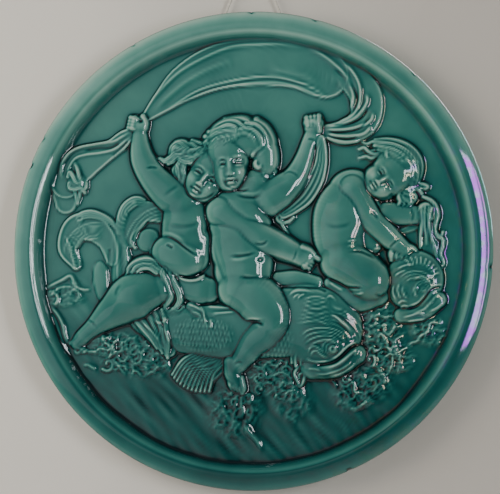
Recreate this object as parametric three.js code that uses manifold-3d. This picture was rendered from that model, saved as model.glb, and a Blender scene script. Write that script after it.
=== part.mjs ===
// A round wall plaque of moulded, glazed earthenware: three infant figures (putti) ride two dolphins
// on a foaming sea under a billowing cloth. A plain rim runs round it, and a cord hangs it on a nail.
//
// Frame: millimetres, +Z up, the wall is the plane y = 0 and the relief faces -Y. The origin is where
// the nail comes out of the wall. On the plaque itself, u runs right and v up from its centre, and
// depth is the distance in front of the wall.

import * as THREE from 'three';
import { mergeVertices } from 'three/addons/utils/BufferGeometryUtils.js';
import Module from 'manifold-3d';

// ---- Driving dimensions, mm ------------------------------------------------------------------------

const RADIUS = 200;               // plaque, outside edge
const CENTRE_BELOW_NAIL = 245;    // plaque centre to nail
const FIELD_DEPTH = 18;           // front of the flat ground behind the figures
const FIELD_RADIUS = 174;         // where the ground ends and the cove rises
const RIM_INNER = 184.4;          // top of the cove
const RIM_DEPTH = 28.5;           // crest of the rim
const BACK_DEPTH = 8;             // back of the ground, and height of the foot ring
const FOOT_OUTER = 146;
const FOOT_INNER = 137;

const CORD = 2;                   // cord diameter
const CORD_DEPTH = 4;             // cord centre line in front of the wall
const CORD_HOLE = 5;              // pierced holes in the foot ring
const KNOT = 6.5;                 // stopper knots

const GLAZE = { color: 0x3a7a70, roughness: 0.12, metalness: 0 };
const COTTON = { color: 0xd8cfbd, roughness: 0.85, metalness: 0 };

// ---- Modelling the relief in clay ------------------------------------------------------------------
// Heights over the ground are kept on a square grid of cells, and forms are pressed onto it one by one.

const CELL = 1;
const HALF = RIM_INNER + 2;
const SIDE = Math.ceil(2 * HALF / CELL) + 1;
const BARE = -30;                 // no clay here yet
const DRAFT = 2.0;                // steepest side that leaves the mould, rise over run

const newClay = (height = BARE) => new Float64Array(SIDE * SIDE).fill(height);

// Catmull-Rom curve through stations; every column (u, v, height, radius) is smoothed alike.
function smooth(stations, steps = 6) {
  const first = stations[0].map((x, i) => 2 * x - stations[1][i]);
  const last = stations.at(-1).map((x, i) => 2 * x - stations.at(-2)[i]);
  const p = [first, ...stations, last];
  const path = [stations[0]];
  for (let k = 1; k < p.length - 2; k++) {
    for (let n = 1; n <= steps; n++) {
      const f = n / steps;
      path.push(p[k].map((b, i) => {
        const a = p[k - 1][i];
        const c = p[k + 1][i];
        const d = p[k + 2][i];
        return 0.5 * (2 * b + (c - a) * f + (2 * a - 5 * b + 4 * c - d) * f * f
          + (3 * b - a - 3 * c + d) * f * f * f);
      }));
    }
  }
  return path;
}

// Calls shape(u, v, cell) for each cell within reach of a box round the points.
function overCells(points, reach, shape) {
  const index = (x) => Math.min(SIDE - 1, Math.max(0, Math.round((x + HALF) / CELL)));
  const us = points.map((p) => p[0]);
  const vs = points.map((p) => p[1]);
  for (let j = index(Math.min(...vs) - reach); j <= index(Math.max(...vs) + reach); j++) {
    for (let i = index(Math.min(...us) - reach); i <= index(Math.max(...us) + reach); i++) {
      shape(i * CELL - HALF, j * CELL - HALF, j * SIDE + i);
    }
  }
}

// Nearest place on a path: distance, side (+1 on its left), run from 0 to 1, and the columns there.
function nearest(path, u, v) {
  let best = { squared: Infinity };
  for (let k = 0; k < path.length - 1; k++) {
    const a = path[k];
    const b = path[k + 1];
    const du = b[0] - a[0];
    const dv = b[1] - a[1];
    const along = ((u - a[0]) * du + (v - a[1]) * dv) / (du * du + dv * dv + 1e-12);
    const f = Math.min(1, Math.max(0, along));
    const eu = u - a[0] - f * du;
    const ev = v - a[1] - f * dv;
    const squared = eu * eu + ev * ev;
    if (squared < best.squared) best = { squared, k, f, side: du * ev - dv * eu >= 0 ? 1 : -1 };
  }
  const { k, f } = best;
  const columns = path[k].map((x, i) => x + f * (path[k + 1][i] - x));
  return { distance: Math.sqrt(best.squared), side: best.side, run: (k + f) / (path.length - 1), columns };
}

// The higher of two surfaces, with the valley between them filled over a width of soft.
function merge(a, b, soft) {
  const f = soft > 0 ? Math.max(0, soft - Math.abs(a - b)) / soft : 0;
  return Math.max(a, b) + f * f * soft / 4;
}

// A round form of height rise and half-width run, at q half-widths from its middle.
function dome(q, rise, run) {
  const steep = DRAFT * run;
  const tangent = steep / Math.hypot(rise, steep);
  return rise * Math.sqrt(1 - Math.min(q, tangent) ** 2) - steep * Math.max(0, q - tangent);
}

// A limb, or anything round and long, through stations [u, v, height, radius].
function limb(clay, stations, flat = 0.6, soft = 2) {
  const path = smooth(stations);
  const reach = Math.max(...stations.map((s) => s[3])) + 7;
  overCells(stations, reach, (u, v, cell) => {
    const { distance, columns: [, , height, radius] } = nearest(path, u, v);
    if (distance > radius + 7) return;
    clay[cell] = merge(clay[cell], height + dome(distance / radius, flat * radius, radius), soft);
  });
}

// An ellipsoid: centre [u, v, height], half-axes [a, b, rise], turned by degrees.
function ball(clay, [cu, cv, height], [a, b, rise], turn = 0, soft = 2) {
  const angle = THREE.MathUtils.degToRad(turn);
  overCells([[cu, cv]], Math.max(a, b) + 7, (u, v, cell) => {
    const x = ((u - cu) * Math.cos(angle) + (v - cv) * Math.sin(angle)) / a;
    const y = (-(u - cu) * Math.sin(angle) + (v - cv) * Math.cos(angle)) / b;
    const q = Math.hypot(x, y);
    const run = q > 1e-3 ? q / Math.hypot(x / a, y / b) : Math.min(a, b);
    clay[cell] = merge(clay[cell], height + dome(q, rise, run), soft);
  });
}

// A soft mound, or a hollow where rise is negative, added to what is there.
function swell(clay, [cu, cv], [a, b], rise, turn = 0) {
  const angle = THREE.MathUtils.degToRad(turn);
  overCells([[cu, cv]], 2.3 * Math.max(a, b), (u, v, cell) => {
    const x = ((u - cu) * Math.cos(angle) + (v - cv) * Math.sin(angle)) / a;
    const y = (-(u - cu) * Math.sin(angle) + (v - cv) * Math.cos(angle)) / b;
    clay[cell] += rise * Math.exp(-x * x - y * y);
  });
}

// A stroke of the modelling tool along a path [u, v]: a ridge, or a groove where rise is negative.
function stroke(clay, stations, width, rise, fade = 0.3) {
  const path = smooth(stations);
  overCells(stations, 2.5 * width, (u, v, cell) => {
    const { distance, run } = nearest(path, u, v);
    const end = Math.min(1, Math.min(run, 1 - run) / fade);
    clay[cell] += rise * Math.exp(-((distance / width) ** 2)) * end * end * (3 - 2 * end);
  });
}

// A length of cloth along stations [u, v, height, half-width]. Its folds are [place, width, rise], with
// place from -1 at its right edge to 1 at its left edge, walking along it.
function cloth(clay, stations, folds, thickness = 1.4) {
  const path = smooth(stations);
  const reach = Math.max(...stations.map((s) => s[3])) + 4;
  overCells(stations, reach, (u, v, cell) => {
    const { distance, side, columns: [, , height, half] } = nearest(path, u, v);
    if (distance > half + 4) return;
    const across = side * distance / half;
    let top = height + thickness - DRAFT * Math.max(0, distance - half);
    for (const [place, width, rise] of folds) {
      top += rise * Math.exp(-(((across - place) * half / width) ** 2));
    }
    clay[cell] = Math.max(clay[cell], top);
  });
}

// Lays one clay form over another.
function lay(under, over) {
  over.forEach((height, cell) => {
    under[cell] = Math.max(under[cell], height);
  });
}

// ---- What the relief shows, from the back forwards --------------------------------------------------

// The cloth billows from the left hand over the top to the right hand, and its ends fly free.
function billowingCloth() {
  const clay = newClay();
  const sail = [[-88, 113, 0.6, 4], [-75, 125, 0.3, 9], [-56, 141, 0.1, 15], [-30, 153.5, 0, 18.5],
    [0, 157.5, 0, 19.5], [35, 155, 0, 19], [62, 146, 0, 19]];
  cloth(clay, sail, [[0.93, 1.6, 1.3], [0.55, 1.6, 1.0], [-0.6, 2, 0.8], [-0.95, 1.2, 0.6]], 1.0);
  const lobe = [[52, 160, 0, 9], [78, 148, 0.4, 11], [95, 129, 1, 13], [94, 108, 1.4, 12],
    [78, 98, 1.8, 10], [61, 98.5, 2.2, 5]];
  cloth(clay, lobe, [[0.9, 1.4, 1], [0.45, 1.6, 1.4], [0, 1.8, 1.7], [-0.45, 1.8, 1.8], [-0.85, 1.8, 2]], 1.6);
  const tail = [[-100, 100, 1.6, 5], [-112, 90, 0.6, 8], [-128, 82, 0.4, 9], [-144, 78, 0.4, 8],
    [-154, 68, 0.6, 4], [-156, 60, 1, 3]];
  cloth(clay, tail, [[-0.85, 1.6, 1.8], [-0.1, 1.6, 1.6], [0.8, 1.6, 0.8]], 1.0);
  ball(clay, [-148, 56, 0.8], [8, 6, 3.2], -30);
  limb(clay, [[-147, 50, 0.6, 3.5], [-147, 42, 0.4, 2.5]], 0.7);
  const wisp = [[58, 88, 2, 3.5], [57, 68, 1.6, 4.5], [50, 48, 1.4, 6], [38, 34, 1.4, 4.5], [26, 30, 1.4, 4]];
  cloth(clay, wisp, [[0.8, 1.4, 1.4], [0, 1.6, 1.2], [-0.8, 1.4, 1.4]], 1.2);
  ball(clay, [30, 26, 0.6], [8, 6.5, 2.6], 10);
  return clay;
}

// A fin: rays fan from its root to points on a curved edge [angle, reach] round it.
function fin(clay, root, rays, width, rise, bend) {
  for (const [degrees, reach] of rays) {
    const angle = THREE.MathUtils.degToRad(degrees);
    const along = (r, turn) => [root[0] + r * Math.cos(angle + turn), root[1] + r * Math.sin(angle + turn)];
    limb(clay, [[...along(0, 0), 0.6, width], [...along(reach / 2, bend / 2), 0.7, width * 1.1],
      [...along(reach, bend), 0.2, width * 0.5]], rise, 0.5);
  }
}

// The near dolphin: its tail rises at the left in two flukes, its head comes up at the right.
function nearDolphin() {
  const clay = newClay();
  cloth(clay, [[-148, -12, 0.4, 4], [-155, 2, 0.6, 8], [-148, 18, 0.7, 11], [-134, 19, 0.8, 11],
    [-122, 8, 0.8, 8], [-117, -8, 0.8, 5]], [[-0.8, 2, 0.9], [-0.2, 2, 0.7], [0.4, 2, 0.7]], 1.2);
  limb(clay, [[-147, 27, 0.8, 3.5], [-135, 30.5, 1, 3.2], [-122, 26, 1, 3], [-113, 18, 0.8, 2.5]], 0.8);
  cloth(clay, [[-104, 8, 0.6, 6], [-101, 22, 0.8, 9], [-91, 32, 0.8, 8.5], [-78, 31, 0.8, 7]],
    [[0.7, 2, 1], [0.1, 2, 0.8], [-0.5, 2, 0.8]], 1.2);
  limb(clay, [[-111, 26, 0.8, 3], [-108, 38, 1, 3.4], [-99, 43, 1, 3.2], [-91, 42, 0.8, 2.5]], 0.8);
  ball(clay, [-127, -28, 0.4], [8, 16, 2.2], 12);
  limb(clay, [[-113, 18, 0.5, 5], [-109, -10, 1, 8.5], [-105, -36, 1, 11], [-88, -58, 1, 13],
    [-60, -66, 1, 19], [-20, -68, 1.6, 23], [16, -62, 2, 28], [44, -58, 2.4, 30]], 0.28);
  ball(clay, [57, -66, 2.2], [35, 34, 9.5], -25, 3);
  limb(clay, [[50, -97, 1.5, 10.5], [70, -95, 2, 11], [87, -87, 2, 8]], 0.6, 1);
  limb(clay, [[22, -24.5, 1.6, 5.5], [38, -24.5, 1.6, 6.5], [54, -28, 1.4, 5.5]], 0.5, 0);
  stroke(clay, [[91, -78], [82, -82], [73, -90], [62, -95]], 1.8, -2.2);
  stroke(clay, [[39, -52], [34, -64], [38, -76], [33, -90]], 2, -1.2);
  ball(clay, [68, -82, 7.6], [4.5, 4.5, 3], 0, 1);
  for (let wrinkle = 0; wrinkle < 4; wrinkle++) {
    const reach = 10 + 5 * wrinkle;
    stroke(clay, [[68 - reach, -84], [66 - reach * 0.6, -84 + reach * 0.75], [70, -82 + reach],
      [70 + reach * 0.7, -80 + reach * 0.6]], 1.5, -0.8);
  }
  const rays = Array.from({ length: 8 }, (_, k) => [186 + 7.5 * k, 44 - 1.6 * k]);
  fin(clay, [-22, -92], rays, 3.2, 0.5, 0.25);
  return clay;
}

// The far dolphin: only its head clears the water at the right.
function farDolphin() {
  const clay = newClay();
  ball(clay, [135, -26, 1.8], [23.5, 25, 7.5], -25, 3);
  limb(clay, [[124, -55, 0.8, 6], [140, -52, 1.4, 7.5], [154, -42, 1.6, 7]], 0.6, 1);
  stroke(clay, [[159, -31], [149, -33], [142, -43], [130, -50]], 1.5, -2);
  ball(clay, [142, -33, 6], [3.8, 3.8, 2.4], 0, 1);
  for (let wrinkle = 0; wrinkle < 3; wrinkle++) {
    const reach = 8 + 5 * wrinkle;
    stroke(clay, [[142 - reach, -36], [140 - reach * 0.6, -33 + reach * 0.8], [146, -32 + reach]], 1.4, -0.8);
  }
  return clay;
}

// A head: skull, face turned and tilted with brow, eye hollows, nose, cheeks, mouth and chin, on the
// usual proportions of an infant. In its own frame x runs across the face and y up it, both in mm.
function head(clay, { at, size, tilt, turn, height }) {
  const angle = THREE.MathUtils.degToRad(tilt);
  const place = (x, y) => [
    at[0] + size * (x * Math.cos(angle) - y * Math.sin(angle)),
    at[1] + size * (x * Math.sin(angle) + y * Math.cos(angle)),
  ];
  const form = (x, y, lift, a, b, rise) => ball(clay, [...place(x, y), height + lift * size],
    [a * size, b * size, rise * size], tilt, 0.12 * size);
  form(turn * 0.2, 0.25, 0, 0.92, 0.85, 0.5);
  form(turn * 0.2, -0.2, 0.08, 0.74, 0.8, 0.42);
  form(turn * 0.3 - 0.38, -0.38, 0.28, 0.3, 0.3, 0.22);
  form(turn * 0.3 + 0.38, -0.38, 0.28, 0.3, 0.3, 0.22);
  form(turn * 0.45, -0.82, 0.3, 0.2, 0.16, 0.16);
  for (const eye of [-1, 1]) {
    swell(clay, place(turn * 0.35 + eye * 0.34, -0.05), [0.2 * size, 0.15 * size], -0.16 * size, tilt);
  }
  form(turn * 0.55, -0.28, 0.4, 0.12, 0.16, 0.2);
  swell(clay, place(turn * 0.5, -0.56), [0.24 * size, 0.07 * size], -0.06 * size, tilt);
}

// Locks of hair: short thick curls set round part of a head.
function curls(clay, [cu, cv], reach, from, to, count, lock, height) {
  for (let k = 0; k < count; k++) {
    const angle = THREE.MathUtils.degToRad(from + (to - from) * k / (count - 1));
    const near = [cu + 0.62 * reach * Math.cos(angle), cv + 0.62 * reach * Math.sin(angle)];
    const far = [cu + reach * Math.cos(angle + 0.25), cv + reach * Math.sin(angle + 0.25)];
    limb(clay, [[...near, height + 1, lock], [...far, height, lock * 0.85]], 0.7, 0.6);
  }
}

// The left figure leans back with one arm raised and one leg stretched out.
function leftPutto() {
  const clay = newClay();
  limb(clay, [[-57, 36, 1.5, 17], [-56, 24, 2, 18.5], [-57, 12, 2, 18]], 0.42);
  limb(clay, [[-50, 8, 1.5, 15], [-50, -6, 1.5, 14]], 0.4);
  ball(clay, [-61.5, -5, 3], [22.5, 16.5, 8], -18, 1);
  stroke(clay, [[-76, 11], [-62, 7], [-50, -2]], 1.2, -1.2);
  // raised arm: wrist, forearm, elbow, upper arm, shoulder
  limb(clay, [[-94.5, 99, 3, 5.5], [-94, 88, 2.8, 7.4], [-91, 75, 2.5, 9.8], [-82, 60, 2.5, 11.5],
    [-69, 47, 2, 14.5], [-60, 40, 2, 14]], 0.55);
  limb(clay, [[-100, 105, 3, 5], [-92, 111, 3, 5.5]], 0.8);
  // leg: hip, thigh, knee, calf, ankle, foot
  limb(clay, [[-78, -32, 2.5, 13], [-92, -36, 3.2, 18.5], [-103, -42, 3.2, 19], [-119, -53.5, 2.2, 12.5],
    [-133, -65, 1.6, 7.5], [-142, -74, 1.4, 6.5]], 0.6);
  head(clay, { at: [-43, 63], size: 18.5, tilt: -33, turn: 0.35, height: 3 });
  curls(clay, [-46, 67], 21, 60, 235, 9, 4.2, 3);
  limb(clay, [[-66, 78, 2, 3.4], [-72, 75, 1.5, 2.6], [-78, 77, 1, 1.8]], 0.8);
  // sash over the hip, with its ends falling
  limb(clay, [[-108, -20, 2, 3], [-97, -12, 3, 4], [-84, -12, 3.5, 4.5], [-76, -18, 4, 3.6],
    [-68, -30, 3.5, 3.4], [-61, -44, 2, 3.2]], 0.8, 0.6);
  for (let fold = 0; fold < 4; fold++) {
    limb(clay, [[-96 + 9 * fold, -52 + 2 * fold, 1, 4], [-84 + 8 * fold, -68 + 3 * fold, 0.6, 3.4]], 0.7, 0.5);
  }
  ball(clay, [-46, -56, 1], [8, 5.5, 3], -20);
  return clay;
}

// The middle figure sits astride, one arm pointing across, the other holding up the cloth.
function middlePutto() {
  const clay = newClay();
  limb(clay, [[-12, 28, 3.5, 24], [-8, 14, 4, 25], [-8, 0, 3.5, 25]], 0.42);
  limb(clay, [[-6, -2, 3.5, 24], [-7, -18, 3.5, 23]], 0.45);
  stroke(clay, [[-17, -5], [-5, -6], [6, -3]], 1.4, -1);
  stroke(clay, [[-8, -23], [5, -25], [19, -30]], 1.4, -1.6);
  limb(clay, [[0, 45, 4, 13], [4, 55, 4, 12]], 0.5);
  // raised arm: shoulder, upper arm, elbow, forearm, wrist
  limb(clay, [[14, 42, 4, 14], [24, 49, 3.5, 13.5], [34, 57, 3.2, 10.5], [40, 66, 3, 8.6], [44.5, 77, 3, 6.9],
    [48, 88, 3, 6], [51, 95, 3, 6.2]], 0.55);
  ball(clay, [53, 103, 3], [7, 8.5, 4], -30, 1);
  // leg: hip, thigh, knee, calf, ankle, foot
  limb(clay, [[-11, -33, 4.5, 16.5], [4, -41, 5.5, 19.5], [16, -56, 6, 18], [12, -68, 5.2, 14.8],
    [1, -78, 4.2, 12.4], [-7, -89, 3.5, 9.2], [-13, -98, 3, 6.6]], 0.62);
  limb(clay, [[-17, -95, 2.6, 6.2], [-15.5, -104, 2.8, 6.8], [-12.5, -113, 2.2, 5.2]], 0.6);
  // arm across: shoulder, upper arm, elbow, forearm, wrist, hand, pointing finger
  limb(clay, [[-24, 31, 5.5, 13.5], [-9, 21, 7, 12.2], [8, 9, 8, 12], [23, 3, 7, 9.6], [36, -3, 5.5, 7.8],
    [44, -7, 5, 7.2]], 0.6, 1);
  limb(clay, [[49, -6, 5.5, 2.6], [57, -8.5, 4, 2]], 0.8);
  head(clay, { at: [-9, 74], size: 21, tilt: 8, turn: -0.55, height: 4.5 });
  curls(clay, [-8, 81], 27, -20, 205, 13, 5.2, 4);
  limb(clay, [[14, 68, 4, 5], [17, 58, 3.5, 4.5], [14, 51, 3, 4]], 0.8, 0.6);
  return clay;
}

// The right figure kneels and stoops, seen from its side, a kerchief on its head.
function rightPutto() {
  const clay = newClay();
  limb(clay, [[84, 46, 2.5, 20], [76, 30, 3, 23], [73, 12, 3, 21], [76, -4, 3, 19]], 0.42);
  limb(clay, [[98, 40, 1.5, 10], [96, 20, 1.5, 12], [98, 5, 1.5, 10]], 0.4);
  limb(clay, [[104, -37, 2, 10], [88, -42, 2.5, 9.5], [74, -33, 2.5, 6.5], [65, -28, 2, 4.5]], 0.55);
  limb(clay, [[76, -9, 3, 18.5], [88, -17, 4.5, 17.5], [98, -26, 4.5, 17]], 0.6);
  stroke(clay, [[64, -23], [78, -29], [92, -32]], 1.4, -1.5);
  // far arm, then near arm: shoulder, elbow, forearm, wrist, hand
  limb(clay, [[112, 30, 1.8, 9], [126, 29, 1.6, 8.8], [138, 28, 1.4, 7.5]], 0.55);
  ball(clay, [147, 28, 1.4], [7.5, 9.5, 3.6], 0);
  limb(clay, [[84, 50, 4.5, 12.5], [91, 38, 5.5, 10.5], [99, 25, 5.5, 9.8], [110, 14, 4.5, 9.2],
    [121, 4, 3.5, 7.2], [127, -1, 3, 6.5]], 0.6, 1);
  head(clay, { at: [113, 61], size: 18.5, tilt: -56, turn: -0.1, height: 2.8 });
  limb(clay, [[112, 81, 3, 6.5], [125, 78, 3.6, 9], [133, 68, 3.2, 8], [136, 56, 2.4, 4.5]], 0.7, 1);
  curls(clay, [121, 56], 18, 235, 300, 4, 4, 2.2);
  for (let lock = 0; lock < 3; lock++) {
    limb(clay, [[108 - 2 * lock, 80 - 3 * lock, 2, 3], [98, 79 - 2 * lock, 1.4, 2.2],
      [89 + 2 * lock, 82 - 3 * lock, 0.6, 1.6]], 0.8, 0.5);
  }
  limb(clay, [[136, 49, 1.6, 4], [144, 51, 1, 2.6]], 0.8, 0.5);
  cloth(clay, [[146, 20, 1, 5], [150, 4, 0.6, 7], [155, -12, 0.2, 5]], [[0.7, 1.6, 1.2], [-0.2, 1.6, 1.4]], 1);
  return clay;
}

// The sea: swells run down to the right, and foam breaks round the figures.
function sea() {
  const clay = newClay();
  const crests = [
    [[-172, -34, 1, 6], [-160, -28, 2, 7], [-148, -34, 1.4, 8], [-134, -40, 0.6, 8]],
    [[-168, -52, 0.4, 9], [-150, -56, 0.6, 12], [-128, -58, 0.4, 10]],
    [[-140, -88, 0.4, 9], [-116, -84, 1, 10], [-92, -86, 1.2, 11], [-70, -92, 0.6, 9]],
    [[12, -112, 0.8, 8], [24, -100, 1.4, 11], [36, -108, 0.8, 8]],
    [[92, -66, 0.6, 6], [104, -60, 1.2, 9], [120, -66, 1, 10], [140, -64, 0.8, 11], [152, -56, 0.4, 8]],
    [[76, -112, 0.4, 6], [92, -108, 0.8, 8], [108, -98, 0.6, 8], [112, -78, 0.6, 8]],
    [[-16, -128, 0.6, 7], [-22, -146, 1, 9], [-14, -160, 1, 9], [-2, -156, 0.6, 6]],
  ];
  for (const crest of crests) limb(clay, crest, 0.42, 3);
  lay(clay, newClay(0));
  for (let swellLine = 0; swellLine < 7; swellLine++) {
    const u = -120 + 34 * swellLine;
    stroke(clay, [[u, -112], [u + 20, -136], [u + 52, -158]], 5, 0.8);
  }
  for (let lump = 0; lump < 46; lump++) {
    const crest = crests[lump % crests.length];
    const path = smooth(crest);
    const [u, v, , radius] = path[(lump * 5) % path.length];
    const angle = 2.4 * lump;
    const reach = 0.75 * radius;
    swell(clay, [u + reach * Math.cos(angle), v + reach * Math.sin(angle)], [3.4, 2.4], 2.1, 40 * lump);
  }
  return clay;
}

// The cove rises from the ground to the rim.
function coveHeight(radius) {
  const f = THREE.MathUtils.clamp((radius - FIELD_RADIUS) / (RIM_INNER - FIELD_RADIUS), 0, 1);
  return (RIM_DEPTH - 1 - FIELD_DEPTH) * f * f * (3 - 2 * f);
}

function wholeRelief() {
  const clay = newClay(0);
  for (const part of [billowingCloth(), nearDolphin(), farDolphin(), sea(), leftPutto(), rightPutto(),
    middlePutto()]) lay(clay, part);
  overCells([[0, 0]], HALF, (u, v, cell) => {
    clay[cell] = Math.max(clay[cell], coveHeight(Math.hypot(u, v)));
  });
  return clay;
}

// Height at any place, straight between the four cells round it.
function heightAt(clay, u, v) {
  const x = THREE.MathUtils.clamp((u + HALF) / CELL, 0, SIDE - 1.001);
  const y = THREE.MathUtils.clamp((v + HALF) / CELL, 0, SIDE - 1.001);
  const i = Math.floor(x);
  const j = Math.floor(y);
  const row = (n) => clay[n * SIDE + i] * (i + 1 - x) + clay[n * SIDE + i + 1] * (x - i);
  return row(j) * (j + 1 - y) + row(j + 1) * (y - j);
}

// Every cell becomes the mean of the square of cells round it.
function blur(clay, cells) {
  let from = clay;
  for (const stride of [1, SIDE]) {
    const to = from.slice();
    for (let c = cells * stride; c < from.length - cells * stride; c++) {
      let sum = 0;
      for (let n = -cells; n <= cells; n++) sum += from[c + n * stride];
      to[c] = sum / (2 * cells + 1);
    }
    from = to;
  }
  return from;
}

// ---- From clay to a solid ---------------------------------------------------------------------------

const SPAN = 256;                 // finest squares across the relief, a power of two
const LARGEST_MISS = 1.2;         // a triangle this far from the clay is split

// The place on the disc of a corner of the finest squares: each square ring of them lies on a circle.
function onDisc(i, j) {
  const a = 2 * i / SPAN - 1;
  const b = 2 * j / SPAN - 1;
  const wide = Math.abs(a) > Math.abs(b);
  const ring = wide ? a : b;
  const angle = Math.PI / 4 * (ring === 0 ? 0 : (wide ? b / a : 2 - a / b));
  return [RIM_INNER * ring * Math.cos(angle), RIM_INNER * ring * Math.sin(angle)];
}

// Two right-angled triangles cover the square, and each is halved across its long side for as long as the
// clay at the middle of that side, or at a later such middle inside it, misses the flat by too much.
function coverRelief(clay) {
  const corner = (i, j) => j * (SPAN + 1) + i;
  const heights = new Float64Array((SPAN + 1) ** 2);
  for (let j = 0; j <= SPAN; j++) {
    for (let i = 0; i <= SPAN; i++) heights[corner(i, j)] = heightAt(clay, ...onDisc(i, j));
  }
  const misses = new Float64Array(heights.length);
  const middle = (a, b) => [(a[0] + b[0]) / 2, (a[1] + b[1]) / 2];
  const halves = [[[0, 0], [SPAN, SPAN], [SPAN, 0]], [[SPAN, SPAN], [0, 0], [0, SPAN]]];
  const finest = 2 * Math.log2(SPAN) - 1;
  // from the smallest triangles up: the miss at the middle of a long side counts those inside it
  const measure = ([a, b, c], level) => {
    const m = middle(a, b);
    if (level > 0) {
      measure([c, a, m], level - 1);
      measure([b, c, m], level - 1);
      return;
    }
    const flat = (heights[corner(...a)] + heights[corner(...b)]) / 2;
    const inside = smallest ? [] : [middle(a, c), middle(b, c)].map((side) => misses[corner(...side)]);
    const here = corner(...m);
    misses[here] = Math.max(misses[here], Math.abs(flat - heights[here]), ...inside);
  };
  let smallest = true;
  for (let level = finest; level >= 0; level--) {
    halves.forEach((half) => measure(half, level));
    smallest = false;
  }
  const triangles = [];
  const split = ([a, b, c], level = 0) => {
    const m = middle(a, b);
    if (level <= finest && misses[corner(...m)] > LARGEST_MISS) {
      split([c, a, m], level + 1);
      split([b, c, m], level + 1);
    } else {
      triangles.push([a, b, c]);
    }
  };
  halves.forEach((half) => split(half));
  return triangles;
}

// The plaque as one closed skin: relief, then rings over the rim, the side and the back to its middle.
function plaqueSkin() {
  const clay = blur(blur(wholeRelief(), 1), 1);
  const positions = [];
  const faces = [];
  const vertex = (u, v, depth) => positions.push(u, -depth, v - CENTRE_BELOW_NAIL) / 3 - 1;
  const front = new Map();
  const edge = [];
  const corner = ([i, j]) => {
    const key = j * (SPAN + 1) + i;
    if (!front.has(key)) {
      const [u, v] = onDisc(i, j);
      const n = vertex(u, v, FIELD_DEPTH + heightAt(clay, u, v));
      front.set(key, n);
      if (i === 0 || j === 0 || i === SPAN || j === SPAN) edge.push({ n, angle: Math.atan2(v, u) });
    }
    return front.get(key);
  };
  for (const [a, b, c] of coverRelief(clay)) faces.push(corner(a), corner(c), corner(b));
  edge.sort((p, q) => p.angle - q.angle);
  // each ring outside the relief: [radius, depth, number of points]
  const rings = [[RIM_INNER + 2.6, RIM_DEPTH, 120], [RADIUS - 3.4, RIM_DEPTH + 0.6, 120],
    [RADIUS - 0.8, RIM_DEPTH - 1.6, 120], [RADIUS, RIM_DEPTH - 4, 120], [RADIUS - 1, RIM_DEPTH - 9, 72],
    [RADIUS - 8, BACK_DEPTH + 6, 72], [FOOT_OUTER + 1.5, BACK_DEPTH, 72], [FOOT_OUTER, 1.5, 72],
    [FOOT_OUTER - 1, 0, 72], [FOOT_INNER + 1, 0, 72], [FOOT_INNER, 1.5, 72],
    [FOOT_INNER - 1.5, BACK_DEPTH, 72]];
  let outer = edge;
  for (const [radius, depth, count] of rings) {
    const inner = Array.from({ length: count }, (_, k) => {
      const angle = (2 * k + 1) * Math.PI / count - Math.PI;
      return { n: vertex(radius * Math.cos(angle), radius * Math.sin(angle), depth), angle };
    });
    zip(outer, inner, faces);
    outer = inner;
  }
  const middle = vertex(0, 0, BACK_DEPTH);
  outer.forEach((a, k) => faces.push(a.n, middle, outer[(k + 1) % outer.length].n));
  const geometry = new THREE.BufferGeometry();
  geometry.setAttribute('position', new THREE.Float32BufferAttribute(positions, 3));
  geometry.setIndex(faces);
  return geometry;
}

// Fills the strip between two rings of points, always stepping along the ring that is behind.
function zip(from, to, faces) {
  const turn = (ring, k) => ring[k % ring.length].angle + 2 * Math.PI * Math.floor(k / ring.length);
  let i = 0;
  let j = 0;
  while (i < from.length || j < to.length) {
    const a = from[i % from.length].n;
    const b = to[j % to.length].n;
    if (j === to.length || (i < from.length && turn(from, i + 1) <= turn(to, j + 1))) {
      i += 1;
      faces.push(a, b, from[i % from.length].n);
    } else {
      j += 1;
      faces.push(a, b, to[j % to.length].n);
    }
  }
}

// ---- Solids and booleans ----------------------------------------------------------------------------

const wasm = await Module();
wasm.setup();

function toSolid(geometry) {
  const bare = geometry.clone();
  bare.deleteAttribute('normal');
  bare.deleteAttribute('uv');
  const merged = mergeVertices(bare, 1e-4);
  return new wasm.Manifold(new wasm.Mesh({
    numProp: 3,
    vertProperties: new Float32Array(merged.attributes.position.array),
    triVerts: new Uint32Array(merged.index.array),
  }));
}

function toGeometry(solid) {
  const { vertProperties, triVerts } = solid.getMesh();
  const geometry = new THREE.BufferGeometry();
  geometry.setAttribute('position', new THREE.Float32BufferAttribute(vertProperties, 3));
  geometry.setIndex([...triVerts]);
  geometry.computeVertexNormals();
  return geometry;
}

// ---- The cord ---------------------------------------------------------------------------------------
// Half of its route, [across, height], from the knot inside the foot ring up to the top of its bend.

const HALF_ROUTE = [[58.1, -127.5], [55.4, -121], [52.3, -113.5], [48.5, -104.4], [43.9, -93.3],
  [39.4, -82.2], [34.8, -71.1], [30.2, -60], [25.6, -48.9], [21, -37.8], [16.5, -26.7], [11.9, -15.6],
  [8.1, -6.4], [4.6, 1.9], [3.5, 3.5], [1.9, 4.6], [0, 5]];
const HOLE_CENTRE = HALF_ROUTE[2];

function cordGeometry() {
  const left = HALF_ROUTE.map(([x, z]) => new THREE.Vector3(-x, -CORD_DEPTH, z));
  const right = HALF_ROUTE.slice(0, -1).reverse().map(([x, z]) => new THREE.Vector3(x, -CORD_DEPTH, z));
  const path = new THREE.CatmullRomCurve3([...left, ...right], false, 'centripetal');
  const section = new THREE.Shape(Array.from({ length: 8 }, (_, k) => new THREE.Vector2(
    CORD / 2 * Math.cos(k * Math.PI / 4), CORD / 2 * Math.sin(k * Math.PI / 4))));
  return new THREE.ExtrudeGeometry(section, { steps: 52, extrudePath: path, bevelEnabled: false });
}

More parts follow.
